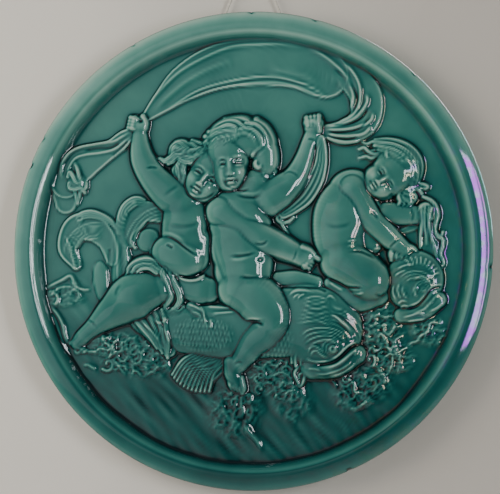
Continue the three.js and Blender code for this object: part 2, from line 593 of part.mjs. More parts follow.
// A cylinder that pierces the foot ring along the cord, on the side given by sign.
function holeTool(sign) {
  const tool = new THREE.CylinderGeometry(CORD_HOLE / 2, CORD_HOLE / 2, 30, 16);
  const [x, z] = HOLE_CENTRE;
  const [nearX, nearZ] = HALF_ROUTE[8];
  const along = new THREE.Vector3(sign * (nearX - x), 0, nearZ - z).normalize();
  tool.applyQuaternion(new THREE.Quaternion().setFromUnitVectors(new THREE.Vector3(0, 1, 0), along));
  tool.translate(sign * x, -CORD_DEPTH, z);
  return toSolid(tool);
}

// ---- The parts --------------------------------------------------------------------------------------

function named(name, geometry, finish) {
  const mesh = new THREE.Mesh(geometry, new THREE.MeshStandardMaterial(finish));
  mesh.name = name;
  return mesh;
}

function plaque() {
  let solid = toSolid(plaqueSkin());
  for (const sign of [-1, 1]) solid = solid.subtract(holeTool(sign));
  return named('plaque', toGeometry(solid), GLAZE);
}

function knot(name, sign) {
  const mesh = named(name, new THREE.SphereGeometry(KNOT / 2, 12, 8), COTTON);
  const [x, z] = HALF_ROUTE[0];
  const [nextX, nextZ] = HALF_ROUTE[1];
  const along = new THREE.Vector3(sign * (x - nextX), 0, z - nextZ).normalize();
  const reach = KNOT / 2 + 0.3;
  mesh.position.set(sign * x + along.x * reach, -CORD_DEPTH, z + along.z * reach);
  return mesh;
}

const wallPlaque = new THREE.Group();
wallPlaque.add(plaque());
wallPlaque.add(named('hanging_cord', cordGeometry(), COTTON));
wallPlaque.add(knot('knot_left', -1));
wallPlaque.add(knot('knot_right', 1));

export default wallPlaque;
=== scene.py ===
import math

import bpy
import numpy as np
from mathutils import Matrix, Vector


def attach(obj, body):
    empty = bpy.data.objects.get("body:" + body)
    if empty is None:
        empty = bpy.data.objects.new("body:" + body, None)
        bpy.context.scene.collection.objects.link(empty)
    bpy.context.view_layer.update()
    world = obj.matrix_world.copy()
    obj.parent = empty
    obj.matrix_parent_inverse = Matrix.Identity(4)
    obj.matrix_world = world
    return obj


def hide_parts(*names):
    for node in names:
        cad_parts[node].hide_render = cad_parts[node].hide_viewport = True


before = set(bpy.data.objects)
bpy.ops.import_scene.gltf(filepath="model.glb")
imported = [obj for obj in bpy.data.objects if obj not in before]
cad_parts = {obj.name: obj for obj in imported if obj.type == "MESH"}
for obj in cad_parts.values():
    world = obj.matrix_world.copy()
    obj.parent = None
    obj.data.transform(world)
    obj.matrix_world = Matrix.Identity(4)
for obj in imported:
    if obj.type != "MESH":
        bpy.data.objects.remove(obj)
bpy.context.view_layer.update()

# ---- Camera -----------------------------------------------------------------------------------------
# Stands in front of the plaque, a little to its right and a little below its middle. The picture takes
# in the whole rim and the foot of the cord.

CENTRE = Vector((0, -0.018, -0.245))          # middle of the plaque's flat ground
CAMERA_RIGHT = math.radians(4)
CAMERA_UP = math.radians(-3)
CAMERA_DISTANCE = 1.4
PICTURE_WIDTH = 0.4177                          # at the plaque
SENSOR_WIDTH = 36
AIM = CENTRE + Vector((-0.0015, 0, 0.0023))

back = Vector((math.sin(CAMERA_RIGHT) * math.cos(CAMERA_UP), -math.cos(CAMERA_RIGHT) * math.cos(CAMERA_UP),
               math.sin(CAMERA_UP)))
camera = bpy.data.objects.new("camera", bpy.data.cameras.new("camera"))
bpy.context.collection.objects.link(camera)
camera.location = AIM + back * CAMERA_DISTANCE
camera.rotation_mode = "QUATERNION"
camera.rotation_quaternion = (-back).to_track_quat("-Z", "Y")
camera.data.sensor_width = SENSOR_WIDTH
camera.data.lens = SENSOR_WIDTH * CAMERA_DISTANCE / PICTURE_WIDTH
bpy.context.scene.camera = camera

# ---- Hanging cord -----------------------------------------------------------------------------------
# A length of laid cotton cord, 2 mm thick. It goes through a hole on each side of the foot ring, is
# stopped there by a knot, and its bend hangs on the nail.

CORD = 0.002
CORD_DEPTH = 0.004                              # its middle in front of the wall
LAY = 0.0075                                    # one full turn of its three strands
CORD_STEP, KNOT_STEP = 0.00028, 0.0002          # between the rings of the mesh
KNOT_SIZE, KNOT_BELOW = 0.00078, 0.00355        # a third of its radius, and its middle past the cord's end
HALF_ROUTE = [(0.0581, -0.1275), (0.0554, -0.121), (0.0523, -0.1135), (0.0485, -0.1044),
              (0.0439, -0.0933), (0.0394, -0.0822), (0.0348, -0.0711), (0.0302, -0.06),
              (0.0256, -0.0489), (0.021, -0.0378), (0.0165, -0.0267), (0.0119, -0.0156),
              (0.0081, -0.0064), (0.0046, 0.0019), (0.0035, 0.0035), (0.0019, 0.0046), (0, 0.005)]


def spline(stations, steps=8):
    """Catmull-Rom curve: a cubic through every station whose slope there is half the step from the
    station before to the station after. All columns of the stations are smoothed alike."""
    p = np.asarray(stations, float)
    p = np.vstack([2 * p[0] - p[1], p, 2 * p[-1] - p[-2]])
    t = np.linspace(0, len(p) - 3, (len(p) - 3) * steps + 1)
    i = np.minimum(t.astype(int), len(p) - 4)
    f = (t - i)[:, None]
    a, b, c, d = p[i], p[i + 1], p[i + 2], p[i + 3]
    return 0.5 * (2 * b + (c - a) * f + (2 * a - 5 * b + 4 * c - d) * f ** 2
                  + (3 * b - a - 3 * c + d) * f ** 3)


def evenly(path, step):
    """The same path with its points an equal distance apart, close to step."""
    far = np.r_[0, np.cumsum(np.linalg.norm(np.diff(path, axis=0), axis=1))]
    at = np.linspace(0, far[-1], max(2, round(far[-1] / step) + 1))
    return np.column_stack([np.interp(at, far, path[:, c]) for c in range(3)]), at


def skin(name, points, faces):
    """A smooth-shaded mesh object at the origin, from arrays of points and of faces."""
    mesh = bpy.data.meshes.new(name)
    mesh.from_pydata(points.tolist(), [], faces)
    mesh.shade_smooth()
    piece = bpy.data.objects.new(name, mesh)
    bpy.context.collection.objects.link(piece)
    return piece


def laid_tube(path, along, thickness, lay, sides=18, strands=3):
    """A tube whose radius swells over each strand: r = R (0.86 + 0.14 cos(n (angle - 2 pi s / lay)))
    at distance s along the path. Its ends are drawn in to a point and closed."""
    ahead = np.gradient(path, axis=0)
    ahead /= np.linalg.norm(ahead, axis=1, keepdims=True)
    side = np.cross(ahead, np.where(np.abs(ahead[:, 1:2]) < 0.9, [[0.0, 1, 0]], [[1.0, 0, 0]]))
    side /= np.linalg.norm(side, axis=1, keepdims=True)
    up = np.cross(side, ahead)
    angle = np.linspace(0, 2 * np.pi, sides, endpoint=False)[None, :]
    s = along[:, None]
    radius = thickness / 2 * (0.86 + 0.14 * np.cos(strands * (angle - 2 * np.pi * s / lay)))
    radius = radius * np.sqrt(np.clip(np.minimum(s, s[-1] - s) / (thickness / 2), 0.02, 1))
    ring = path[:, None] + radius[..., None] * (
        np.cos(angle)[..., None] * side[:, None] + np.sin(angle)[..., None] * up[:, None])
    rows, k = len(path), np.arange(sides)
    start = (np.arange(rows - 1) * sides)[:, None]
    nxt = (k + 1) % sides
    quads = np.stack([start + k, start + nxt, start + nxt + sides, start + k + sides], -1).reshape(-1, 4)
    caps = [list(range(sides))[::-1], [(rows - 1) * sides + j for j in range(sides)]]
    return ring.reshape(-1, 3), quads.tolist() + caps


half = [(x, -CORD_DEPTH, z) for x, z in HALF_ROUTE]
route = [(-x, y, z) for x, y, z in half] + half[-2::-1]
cord_path, cord_along = evenly(spline(route), CORD_STEP)
hanging_cord = skin("hanging_cord_laid", *laid_tube(cord_path, cord_along, CORD, LAY))
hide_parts("hanging_cord")
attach(hanging_cord, "root")


def knot(name, side):
    """A stopper knot: the cord carried along a trefoil, (sin t + 2 sin 2t, cos t - 2 cos 2t, -sin 3t),
    pulled tight, with a short end."""
    t = np.linspace(0.35, 2 * np.pi - 0.1, 90)
    trefoil = np.column_stack([np.sin(t) + 2 * np.sin(2 * t), -np.sin(3 * t) * 1.1,
                               np.cos(t) - 2 * np.cos(2 * t)]) * KNOT_SIZE
    (x0, z0), (x1, z1) = HALF_ROUTE[:2]
    along = np.array([side * (x0 - x1), 0, z0 - z1])
    along /= np.linalg.norm(along)
    middle = np.array([side * x0, -CORD_DEPTH, z0]) + along * KNOT_BELOW
    end = trefoil[-1] + np.array([[0.0005, 0.0002, -0.0012], [0.0012, 0.0004, -0.0024]])
    path, s = evenly(np.vstack([trefoil, end]) + middle, KNOT_STEP)
    piece = skin(name + "_tied", *laid_tube(path, s, CORD * 0.92, LAY, sides=12))
    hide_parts(name)
    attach(piece, "root")
    return piece


knots = [knot("knot_left", -1), knot("knot_right", 1)]


class Value:
    """A number that a node gives. Python's operators on it add Math nodes."""

    def __init__(self, sheet, socket):
        self.sheet, self.socket = sheet, socket

    def _math(self, operation, *inputs):
        return self.sheet.node("ShaderNodeMath", {"operation": operation}, *inputs)

    def __add__(self, other): return self._math("ADD", self, other)
    def __radd__(self, other): return self._math("ADD", other, self)
    def __sub__(self, other): return self._math("SUBTRACT", self, other)
    def __rsub__(self, other): return self._math("SUBTRACT", other, self)
    def __mul__(self, other): return self._math("MULTIPLY", self, other)
    def __rmul__(self, other): return self._math("MULTIPLY", other, self)
    def __truediv__(self, other): return self._math("DIVIDE", self, other)
    def __rtruediv__(self, other): return self._math("DIVIDE", other, self)


class Finish:
    """A material's node sheet. node() makes any node: its type, its settings, then its sockets' values
    or links, in order or by name."""

    def __init__(self, name):
        self.material = bpy.data.materials.new(name)
        self.material.use_nodes = True
        self.tree = self.material.node_tree
        self.tree.nodes.clear()

    def node(self, kind, settings=None, *inputs, out=0, **named):
        node = self.tree.nodes.new(kind)
        for key, value in (settings or {}).items():
            if key == "ramp":
                while len(node.color_ramp.elements) > 1:
                    node.color_ramp.elements.remove(node.color_ramp.elements[-1])
                node.color_ramp.elements[0].position = value[0][0]
                node.color_ramp.elements[0].color = (*value[0][1], 1)
                for place, colour in value[1:]:
                    node.color_ramp.elements.new(place).color = (*colour, 1)
            else:
                setattr(node, key, value)
        sockets = list(enumerate(inputs)) + [(name.replace("_", " "), v) for name, v in named.items()]
        for key, value in sockets:
            if isinstance(value, Value):
                self.tree.links.new(value.socket, node.inputs[key])
            elif value is not None:
                node.inputs[key].default_value = value
        return Value(self, node.outputs[out]) if node.outputs else None

    def blend(self, factor, a, b):
        """Colour a turned into colour b by factor, with a Mix node, whose colours are inputs 6 and 7."""
        a, b = [(*c, 1) if isinstance(c, tuple) else c for c in (a, b)]
        return self.node("ShaderNodeMix", {"data_type": "RGBA"}, factor, *[None] * 5, a, b, out=2)

    def surface(self, shader):
        """The material, with that shader on its surface."""
        self.node("ShaderNodeOutputMaterial", None, shader)
        return self.material


def cotton():
    """Cream cotton: pale fibres with painted shade in the gaps between them, and grey-brown where it is
    soiled.
    """
    sheet = Finish("cotton_cord")
    place = sheet.node("ShaderNodeTexCoord", out=3)
    fibre_and_gap_shade = sheet.node("ShaderNodeTexNoise", None, place, Scale=1400.0, Detail=3.0)
    soil = sheet.node("ShaderNodeTexNoise", None, place, Scale=60.0, Detail=2.0)
    # painted shade: the colour is darker where the fibre noise is low, in the gaps that the bump presses in
    colour = sheet.blend(fibre_and_gap_shade, (0.52, 0.47, 0.39), (0.74, 0.69, 0.60))
    colour = sheet.blend(soil * 0.35, colour, (0.42, 0.36, 0.27))
    bump = sheet.node("ShaderNodeBump", None, Strength=0.5, Distance=0.0002, Height=fibre_and_gap_shade)
    return sheet.surface(sheet.node("ShaderNodeBsdfPrincipled", None, Base_Color=colour, Roughness=0.85,
                                    Sheen_Weight=0.25, Sheen_Roughness=0.4, Normal=bump))


cotton_cord = cotton()
for piece in (hanging_cord, *knots):
    piece.data.materials.append(cotton_cord)

# ---- Plaque: the clay ---------------------------------------------------------------------------------
# The plaque is pressed from a mould whose model was built up in clay on a flat ground. Here the clay is
# a height over the ground in mm on a fine square grid, and each form is laid on it one by one.
# On the plaque u runs right and v up from its centre, in mm.

GRID = 0.4
HALF = 186.0
BARE = -30.0                                    # no clay here yet
DRAFT, CLOTH_DRAFT = 2.2, 2.0                   # slope of a form's steep edge, and of a cloth's
grid_line = np.arange(-HALF, HALF + GRID / 2, GRID)
U, V = np.meshgrid(grid_line, grid_line)


def near(lo, hi):
    """The part of the grid that lies in a box."""
    i0, j0 = np.clip(((np.asarray(lo) + HALF) / GRID).astype(int), 0, len(grid_line) - 2)
    i1, j1 = np.clip(((np.asarray(hi) + HALF) / GRID).astype(int) + 2, 2, len(grid_line))
    return slice(j0, max(j1, j0 + 2)), slice(i0, max(i1, i0 + 2))


def follow(stations, reach, steps=8):
    """For the grid near a path: distance to it, side (+1 on its left), run from 0 to 1, and the
    stations' other columns at the nearest place."""
    p = spline(stations, steps)
    w = near(p[:, :2].min(0) - reach, p[:, :2].max(0) + reach)
    u, v = U[w], V[w]
    best, place, side = np.full(u.shape, 1e12), np.zeros(u.shape), np.ones(u.shape)
    for k, (a, b) in enumerate(zip(p[:-1], p[1:])):
        du, dv = b[:2] - a[:2]
        f = np.clip(((u - a[0]) * du + (v - a[1]) * dv) / (du * du + dv * dv + 1e-12), 0, 1)
        eu, ev = u - a[0] - f * du, v - a[1] - f * dv
        far = eu * eu + ev * ev
        closer = far < best
        best = np.where(closer, far, best)
        place = np.where(closer, k + f, place)
        side = np.where(closer, np.where(du * ev - dv * eu >= 0, 1.0, -1.0), side)
    columns = [np.interp(place, np.arange(len(p)), p[:, c]) for c in range(2, p.shape[1])]
    return w, np.sqrt(best), side, place / (len(p) - 1), columns


def merge(a, b, soft):
    """The higher of two surfaces: max(a, b) + soft / 4 (1 - |a - b| / soft)^2 where they are closer
    than soft, which fills the valley between them."""
    f = np.maximum(soft - np.abs(a - b), 0) / max(soft, 1e-9)
    return np.maximum(a, b) + f * f * soft / 4


def dome(q, rise, run):
    """rise sqrt(1 - q^2), which goes on straight where it gets steeper than the mould's draft."""
    steep = DRAFT * run
    q0 = steep / np.hypot(rise, steep)
    return rise * np.sqrt(1 - np.minimum(q, q0) ** 2) - steep * np.maximum(q - q0, 0)


def turned(u, v, at, radii, degrees):
    """Place relative to at, in a frame turned by degrees and measured in the two radii."""
    c, s = math.cos(math.radians(degrees)), math.sin(math.radians(degrees))
    return ((u - at[0]) * c + (v - at[1]) * s) / radii[0], ((v - at[1]) * c - (u - at[0]) * s) / radii[1]


class Clay:
    """One modelled form, or several, as heights on the grid."""

    def __init__(self, height=BARE):
        self.h = np.full(U.shape, float(height))

    def roll(self, stations, flat=0.6, soft=2.0):
        """A rolled form along (u, v, height, radius): height + flat radius sqrt(1 - (d / radius)^2)."""
        reach = max(s[3] for s in stations) + 8
        w, d, _, _, (z, r) = follow(stations, reach)
        form = z + dome(d / r, flat * r, r)
        self.h[w] = np.where(d < r + 8, merge(self.h[w], form, soft), self.h[w])
        return self

    def ball(self, at, radii, turn=0.0, soft=2.0):
        """An ellipsoid at (u, v, height) with half-axes (a, b, rise), turned by degrees."""
        a, b, rise = radii
        reach = max(a, b) + 8
        w = near((at[0] - reach, at[1] - reach), (at[0] + reach, at[1] + reach))
        x, y = turned(U[w], V[w], at, (a, b), turn)
        q = np.hypot(x, y)
        run = np.where(q < 1e-3, min(a, b), q / (np.hypot(x / a, y / b) + 1e-9))
        self.h[w] = merge(self.h[w], at[2] + dome(q, rise, run), soft)
        return self

    def swell(self, at, radii, rise, turn=0.0):
        """A soft mound, or a hollow, on what is there: rise exp(-q^2)."""
        reach = 2.3 * max(radii)
        w = near((at[0] - reach, at[1] - reach), (at[0] + reach, at[1] + reach))
        x, y = turned(U[w], V[w], at, radii, turn)
        self.h[w] += rise * np.exp(-x * x - y * y)
        return self

    def stroke(self, path, width, rise, fade=0.35, steps=6):
        """A stroke of the modelling tool, a ridge or a groove: rise exp(-(d / width)^2), which fades
        over that share of its length at both ends."""
        w, d, _, run, _ = follow(path, 2.5 * width, steps)
        end = np.clip(np.minimum(run, 1 - run) / fade, 0, 1)
        self.h[w] += rise * np.exp(-(d / width) ** 2) * end * end * (3 - 2 * end)
        return self

    def cloth(self, stations, folds, thickness):
        """A strip of cloth along (u, v, height, half-width). A fold (place, width, rise) is a ridge
        rise exp(-(across / width)^2) at a place from -1, its right edge, to 1, its left edge."""
        reach = max(s[3] for s in stations) + 4
        w, d, side, _, (z, r) = follow(stations, reach, 12)
        across = side * d / r
        top = z + thickness - CLOTH_DRAFT * np.maximum(d - r, 0)
        for place, width, rise in folds:
            top = top + rise * np.exp(-((across - place) * r / width) ** 2)
        self.h[w] = np.where(d < r + 4, np.maximum(self.h[w], top), self.h[w])
        return self

    def lay(self, over, bite, width=1.2):
        """Lays another form over this one. bite sinks this one along the other's edge, by up to that
        much, as a modeller cuts round a form to set it off."""
        edge = np.clip(1 - np.abs(self.h - over.h) / (2.2 * width), 0, 1) * (over.h > BARE / 2)
        self.h = np.maximum(self.h - bite * edge ** 2 * (self.h >= over.h), over.h)
        return self

# ---- Plaque: the sea ----------------------------------------------------------------------------------
# Fills the lower part of the ground: smooth swells streaked by the modeller's comb, a breaking crest at
# the left, and froth where the dolphins and the feet meet the water. Modelled on the ground itself.


def ripple(seed, length, angle=0.0, spread=180.0, waves=14):
    """Random waves added up, about -1 to 1. Their crests run at that angle, give or take spread
    degrees, and lie about length apart."""
    random = np.random.default_rng(seed)
    total = 0.0
    for _ in range(waves):
        across = math.radians(angle + 90 + random.uniform(-spread, spread))
        pitch = length * random.uniform(0.65, 1.6)
        total = total + np.sin((U * math.cos(across) + V * math.sin(across)) * 2 * math.pi / pitch
                               + random.uniform(0, 6.3))
    return total / math.sqrt(waves)


def patch(at, radii, turn=0.0, edge=0.5):
    """1 inside an ellipse, falling smoothly to 0 across its edge."""
    x, y = turned(U, V, at, radii, turn)
    f = np.clip((1 + edge / 2 - np.hypot(x, y)) / edge, 0, 1)
    return f * f * (3 - 2 * f)


def lock(c, stations, strands=3, flat=0.75, soft=0.5):
    """A twisted strand, of foam, cloth or hair, along (u, v, height, radius): a roll with grooves
    0.22 radius deep between its threads."""
    reach = max(s[3] for s in stations) + 5
    w, d, side, _, (z, r) = follow(stations, reach, 6)
    across = np.clip(side * d / r, -1.2, 1.2)
    threads = np.cos(np.pi * strands * (across + (strands + 1) % 2 / strands))
    top = z + dome(d / r, flat * r, r) + 0.22 * r * threads
    c.h[w] = np.where(d < r + 4, merge(c.h[w], top, soft), c.h[w])


def curl(c, at, size, turn, height, way=1):
    """A curl of foam: a strand that winds in one and a quarter times round at."""
    stations = []
    for k in range(9):
        angle = math.radians(turn + way * 37 * k)
        out = size * (1 - 0.095 * k)
        stations.append((at[0] + out * math.cos(angle), at[1] + out * math.sin(angle),
                         height + 0.10 * k, size * (0.24 - 0.012 * k)))
    lock(c, stations, 2, 0.9, 0.2)


def sea():
    """The ground: two patches of water, combed and rippled, and rough where it froths."""
    c = Clay(0.0)
    r = np.hypot(U, V)
    deep = patch((0, -170), (190, 76), 0, 0.5)
    west = patch((-158, -70), (40, 44), 0, 0.35)
    water = np.maximum(deep, west)
    c.h += 1.6 * deep * np.clip((r - 120) / 50, 0, 1) + 0.8 * west
    comb = 1.2 * ripple(3, 10.0, -50, 14)
    c.h += water * (0.09 * comb + 0.5 * ripple(5, 38.0, -30, 40))
    # froth: a web of ridges where the waves are near 0, and curls in it
    coarse, fine = [np.clip(1 - np.abs(ripple(seed, length, 0, 180, 18)), 0, 1) ** 2
                    for seed, length in ((7, 13.0), (8, 6.0))]
    froth = coarse + 0.6 * fine
    for at, radii, turn, rise in (((-99, -88), (31, 16), -14, 1.5), ((20, -104), (26, 17), -25, 1.5),
                                  ((-14, -134), (20, 22), -60, 1.1), ((108, -72), (17, 30), 12, 1.6),
                                  ((92, -114), (24, 15), 25, 1.4), ((146, -66), (17, 12), -35, 1.2),
                                  ((-157, -38), (17, 9), 10, 1.0), ((34, -128), (16, 12), 0, 0.7),
                                  ((-122, -80), (12, 9), 0, 1.2), ((122, -90), (13, 12), 0, 1.0)):
        c.h += patch(at, radii, turn, 0.6) * (0.6 + rise * froth)
    random = np.random.default_rng(11)
    for at, spread, count in (((-100, -88), (24, 10), 13), ((22, -105), (19, 11), 10),
                              ((108, -76), (10, 22), 11), ((90, -113), (16, 8), 7),
                              ((146, -65), (10, 7), 4), ((-12, -134), (11, 13), 7),
                              ((-158, -40), (10, 4), 3), ((-120, -80), (7, 5), 3)):
        for _ in range(count):
            x, y = random.uniform(-1, 1, 2)
            curl(c, (at[0] + x * spread[0], at[1] + y * spread[1]), random.uniform(3.2, 6.2),
                 random.uniform(0, 360), random.uniform(0.5, 1.2), random.choice((-1, 1)))
    # the crest that breaks at the left, and the water running down from it
    for path, width, rise in (
            ([(-175, -33), (-168, -29), (-160, -25), (-153, -21.5), (-149, -27), (-145, -32)], 1.5, 2.0),
            ([(-174, -35), (-166, -34), (-160, -31), (-152, -31), (-146, -35)], 1.2, 1.3),
            ([(-153, -24), (-149, -30), (-141, -33), (-135, -32.5)], 1.0, 1.3),
            ([(-172, -40), (-166, -36), (-163, -40), (-165, -45), (-170, -43)], 1.2, 1.9),
            ([(-171, -45), (-164, -53), (-159.5, -61), (-157, -71), (-154, -80)], 1.3, 1.9),
            ([(-172, -49), (-166, -58), (-162, -68), (-158, -79), (-152, -88)], 1.2, 1.6),
            ([(-179, -34), (-177.5, -46), (-174, -57), (-169, -69), (-163, -80)], 1.5, 1.8),
            ([(-176, -35), (-174.5, -44), (-172, -53), (-167, -64)], 1.1, 1.3),
            ([(-150, -80), (-147, -86), (-142, -84), (-136, -85), (-129, -85.5)], 1.2, 1.6),
            ([(-142, -97), (-138, -96), (-134, -98), (-130, -100)], 1.2, 1.4),
            ([(-146, -108), (-143, -113), (-137, -117), (-131, -122)], 1.3, 1.2),
            ([(-118, -92), (-113, -94), (-110, -99), (-106, -105)], 1.1, 1.2),
            ([(-6, -143), (-2, -151), (4, -158), (9, -166)], 2.0, 1.6),
            ([(18, -124), (22, -119.5), (28, -116.5)], 0.9, 1.1),
            ([(27, -137), (32, -140), (38, -143)], 1.4, 0.9),
            ([(76, -105), (81, -108), (85, -112), (86, -118), (91, -116.5)], 1.0, 1.7),
            ([(64.5, -107.5), (68, -110), (71, -114)], 0.9, 1.4),
            ([(80, -131), (86, -132), (92, -128), (96, -124)], 1.2, 1.3),
            ([(104, -98), (108, -104), (112, -111)], 1.0, 1.4)):
        c.stroke(path, width, rise, 0.2)
    # at the right, foam that curls down from the far dolphin's jaw, and drops that run between the two
    for path in ([(151, -57), (151.5, -60), (147.5, -62), (146, -68), (140, -71.5), (137, -76), (131.5, -78),
                  (133, -83)],
                 [(110, -59), (109.5, -66), (113.5, -70.5), (118, -66), (118.5, -59)],
                 [(105, -74), (107, -70), (110, -74), (113, -80), (117, -88)],
                 [(97, -63), (100.5, -63), (104, -60)],
                 [(101.5, -86), (103, -84), (105.5, -84.5)], [(101.5, -87), (102, -92), (101, -98)]):
        c.stroke(path, 1.1, 1.8, 0.15)
    highest = 4.6                               # above it the froth is pressed down to a quarter
    c.h = np.minimum(c.h, highest + 0.25 * (c.h - highest))
    return c


# ---- Plaque: the dolphins -----------------------------------------------------------------------------
# Two dolphins as masons carve them. The near one lies across the plaque: its tail stands up at the left
# in two flukes, its scaly body passes behind the legs, and its wrinkled head rests in the foam at the
# right. Only the head of the far one shows. Rolled up in clay, then drawn on with a pointed tool.


def wrinkles(c, paths, width, rise):
    """A soft ridge, 1.3 rise high, along each path."""
    for path in paths:
        c.stroke(path, width, 1.3 * rise, 0.25)


def arcs(c, at, radii, start, end, width, rise, turn=0.0):
    """Ridges round a centre from angle start to end, one for each radius (a, b)."""
    t, tilt = np.radians(np.linspace(start, end, 9)), math.radians(turn)
    c0, s0 = math.cos(tilt), math.sin(tilt)
    for a, b in radii:
        x, y = a * np.cos(t), b * np.sin(t)
        c.stroke(list(zip(at[0] + x * c0 - y * s0, at[1] + x * s0 + y * c0)), width, rise, 0.2)


def scales(c, at, radii, turn, pitch, rise):
    """Rows of overlapping scales, tall drops side by side and shifted by half from row to row: each
    rises towards its rounded lower edge, 1 - |2 x|^2.4 across and as the share of its length."""
    x, y = turned(U, V, at, (1, 1), turn)
    row = np.floor(y / pitch[1])
    across = x / pitch[0] + 0.5 * (row % 2)
    across = 2 * (across - np.floor(across)) - 1
    along = 1 - (y / pitch[1] - row)
    drop = np.clip(1.25 * (1 - np.abs(across) ** 2.4) - 0.8 * np.maximum(along - 0.6, 0) * 2.5, 0, 1)
    shape = drop * (0.35 + 0.65 * along)
    c.h += patch(at, radii, turn, 0.3) * rise * shape


def near_dolphin():
    """Tail, body, fin and head, in the order in which they lie on each other."""
    c = Clay()
    # left fluke: its rays run round from the tip to the root
    c.cloth([(-148, -12, 0.4, 4), (-155, 2, 0.6, 8), (-148, 18, 0.7, 11), (-134, 19, 0.8, 11),
             (-122, 8, 0.8, 8),
             (-117, -8, 0.8, 5)], [(0.93, 1.2, 0.9)], 1.2)
    arcs(c, (-131, -4), [(12 + 3.0 * k, 14 + 2.6 * k) for k in range(6)], 62, 178, 1.0, 0.95, 6)
    for k in range(9):
        c.stroke([(-157.6 + 0.9 * k, 13 - 3.2 * k), (-154.4 + 0.9 * k, 7.5 - 3.2 * k),
                  (-150.6 + 0.7 * k, 4.5 - 3.0 * k)],
                 0.7, 1.0, 0.25)
    # its rolled lobe, and the lower lobe that is smooth and pale
    for k in range(3):
        lock(c, [(-147 + k, 27.5 - 2.4 * k, 1.0, 2.0), (-143, 30.8 - 1.8 * k, 1.4, 2.2),
                 (-135, 32.2 - 1.8 * k, 1.6, 2.2),
                 (-126, 29.4 - 1.6 * k, 1.6, 2.0), (-118, 24.4 - 1.2 * k, 1.2, 1.8), (-112, 17, 0.8, 1.5)], 2)
    c.ball((-144.5, 27, 1.2), (4, 3.2, 2.6), 30, 0.4)
    c.swell((-145, 27), (1.8, 1.2), -2.0, 20)
    c.ball((-126, -27, 0.4), (7.5, 18, 2.2), 8, 0.3)
    c.stroke([(-120, 2), (-120, -12), (-120, -26), (-120, -40)], 0.9, -1.2, 0.05)
    # right fluke
    c.cloth([(-104, 8, 0.6, 6), (-101, 22, 0.8, 9), (-91, 32, 0.8, 8.5), (-78, 31, 0.8, 7)], [], 1.2)
    arcs(c, (-74, -2), [(20 + 3.2 * k, 26 + 3.0 * k) for k in range(5)], 88, 170, 1.0, 0.95)
    for k in range(3):
        lock(c, [(-112.5 + 1.9 * k, 14, 0.9, 1.5), (-112 + 2.0 * k, 26 - k, 1.4, 1.9),
                 (-108 + 1.6 * k, 36.5 - 2 * k, 1.8, 2.1),
                 (-101 + k, 42.5 - 2.4 * k, 1.8, 2.1), (-95, 43.5 - 2.2 * k, 1.4, 1.9),
                 (-90.5, 42 - 1.6 * k, 1, 1.5)], 2)
    c.ball((-99, 40, 1.6), (3.6, 2.8, 2.2), 20, 0.4)
    # the oval loop of the tail's end in front of the flukes
    lock(c, [(-95, 19, 1.2, 1.6), (-100, 13, 1.6, 1.8), (-101.5, 7, 1.6, 1.6), (-98, 2, 1.2, 1.4)], 1)
    c.ball((-87, 8.5, 0.6), (10, 10, 2.4), 20, 0.3)
    c.stroke([(-96, 8), (-94, 15), (-88, 18.5), (-80, 17), (-77, 10)], 0.9, -1.2, 0.1)
    lock(c, [(-81, 11, 1.6, 1.0), (-84, 3, 1.8, 1.2), (-84.5, -4, 1.6, 1.2), (-81, -9, 1.4, 1.0)], 1)
    # stem of the tail and the long body
    c.roll([(-113, 18, 0.5, 5), (-109, -10, 1, 8.5), (-105, -36, 1, 11), (-88, -58, 1, 13), (-60, -66, 1, 19),
            (-20, -68, 1.6, 23), (16, -62, 2, 28), (44, -58, 2.4, 30)], 0.28)
    for k in range(4):
        c.stroke([(-116 + 3.4 * k, 10), (-116.5 + 3.8 * k, -8), (-117 + 4.4 * k, -24), (-119 + 5 * k, -38)],
                 0.9, 0.7 if k % 2 else -0.6, 0.2)
    scales(c, (-40, -71), (25, 14), -3, (3.3, 5.2), 1.15)
    scales(c, (20, -80), (15, 20), -8, (3.3, 5.2), 1.0)
    wrinkles(c, [[(-53, -40), (-47, -44), (-41, -50), (-38.5, -58), (-36.5, -68)],
                 [(-40, -43), (-30, -44.5), (-15, -45)], [(-38, -47), (-28, -48), (-14, -48.5)],
                 [(-34, -53.5), (-24, -52.6), (-12, -51.8)], [(-33, -57), (-33.5, -62), (-34, -66)]],
             0.9, 1.1)
    # pectoral fin: ribs from its root fanned down and left, each ending in a point of the ragged edge
    fin = Clay()
    fin.cloth([(-24, -94, 1.2, 6), (-38, -99, 1.2, 12), (-50, -105, 0.8, 9)], [], 1.1)
    for k in range(11):
        f = k / 10
        tip = (-66.5 + 31 * f ** 1.25, -104 - 14.5 * math.sin(min(f * 1.9, math.pi / 2)) + 0.8 * f)
        root = (-43 + 22 * f, -84 - 9 * f)
        middle = ((tip[0] + root[0]) / 2 - 2.6, (tip[1] + root[1]) / 2 + 2.4)
        lock(fin, [(*root, 2.2, 0.7), (*middle, 2.5, 1.25), (*tip, 1.7, 0.9)], 1, 0.9, 0.1)
    c.lay(fin, bite=0.8, width=0.8)
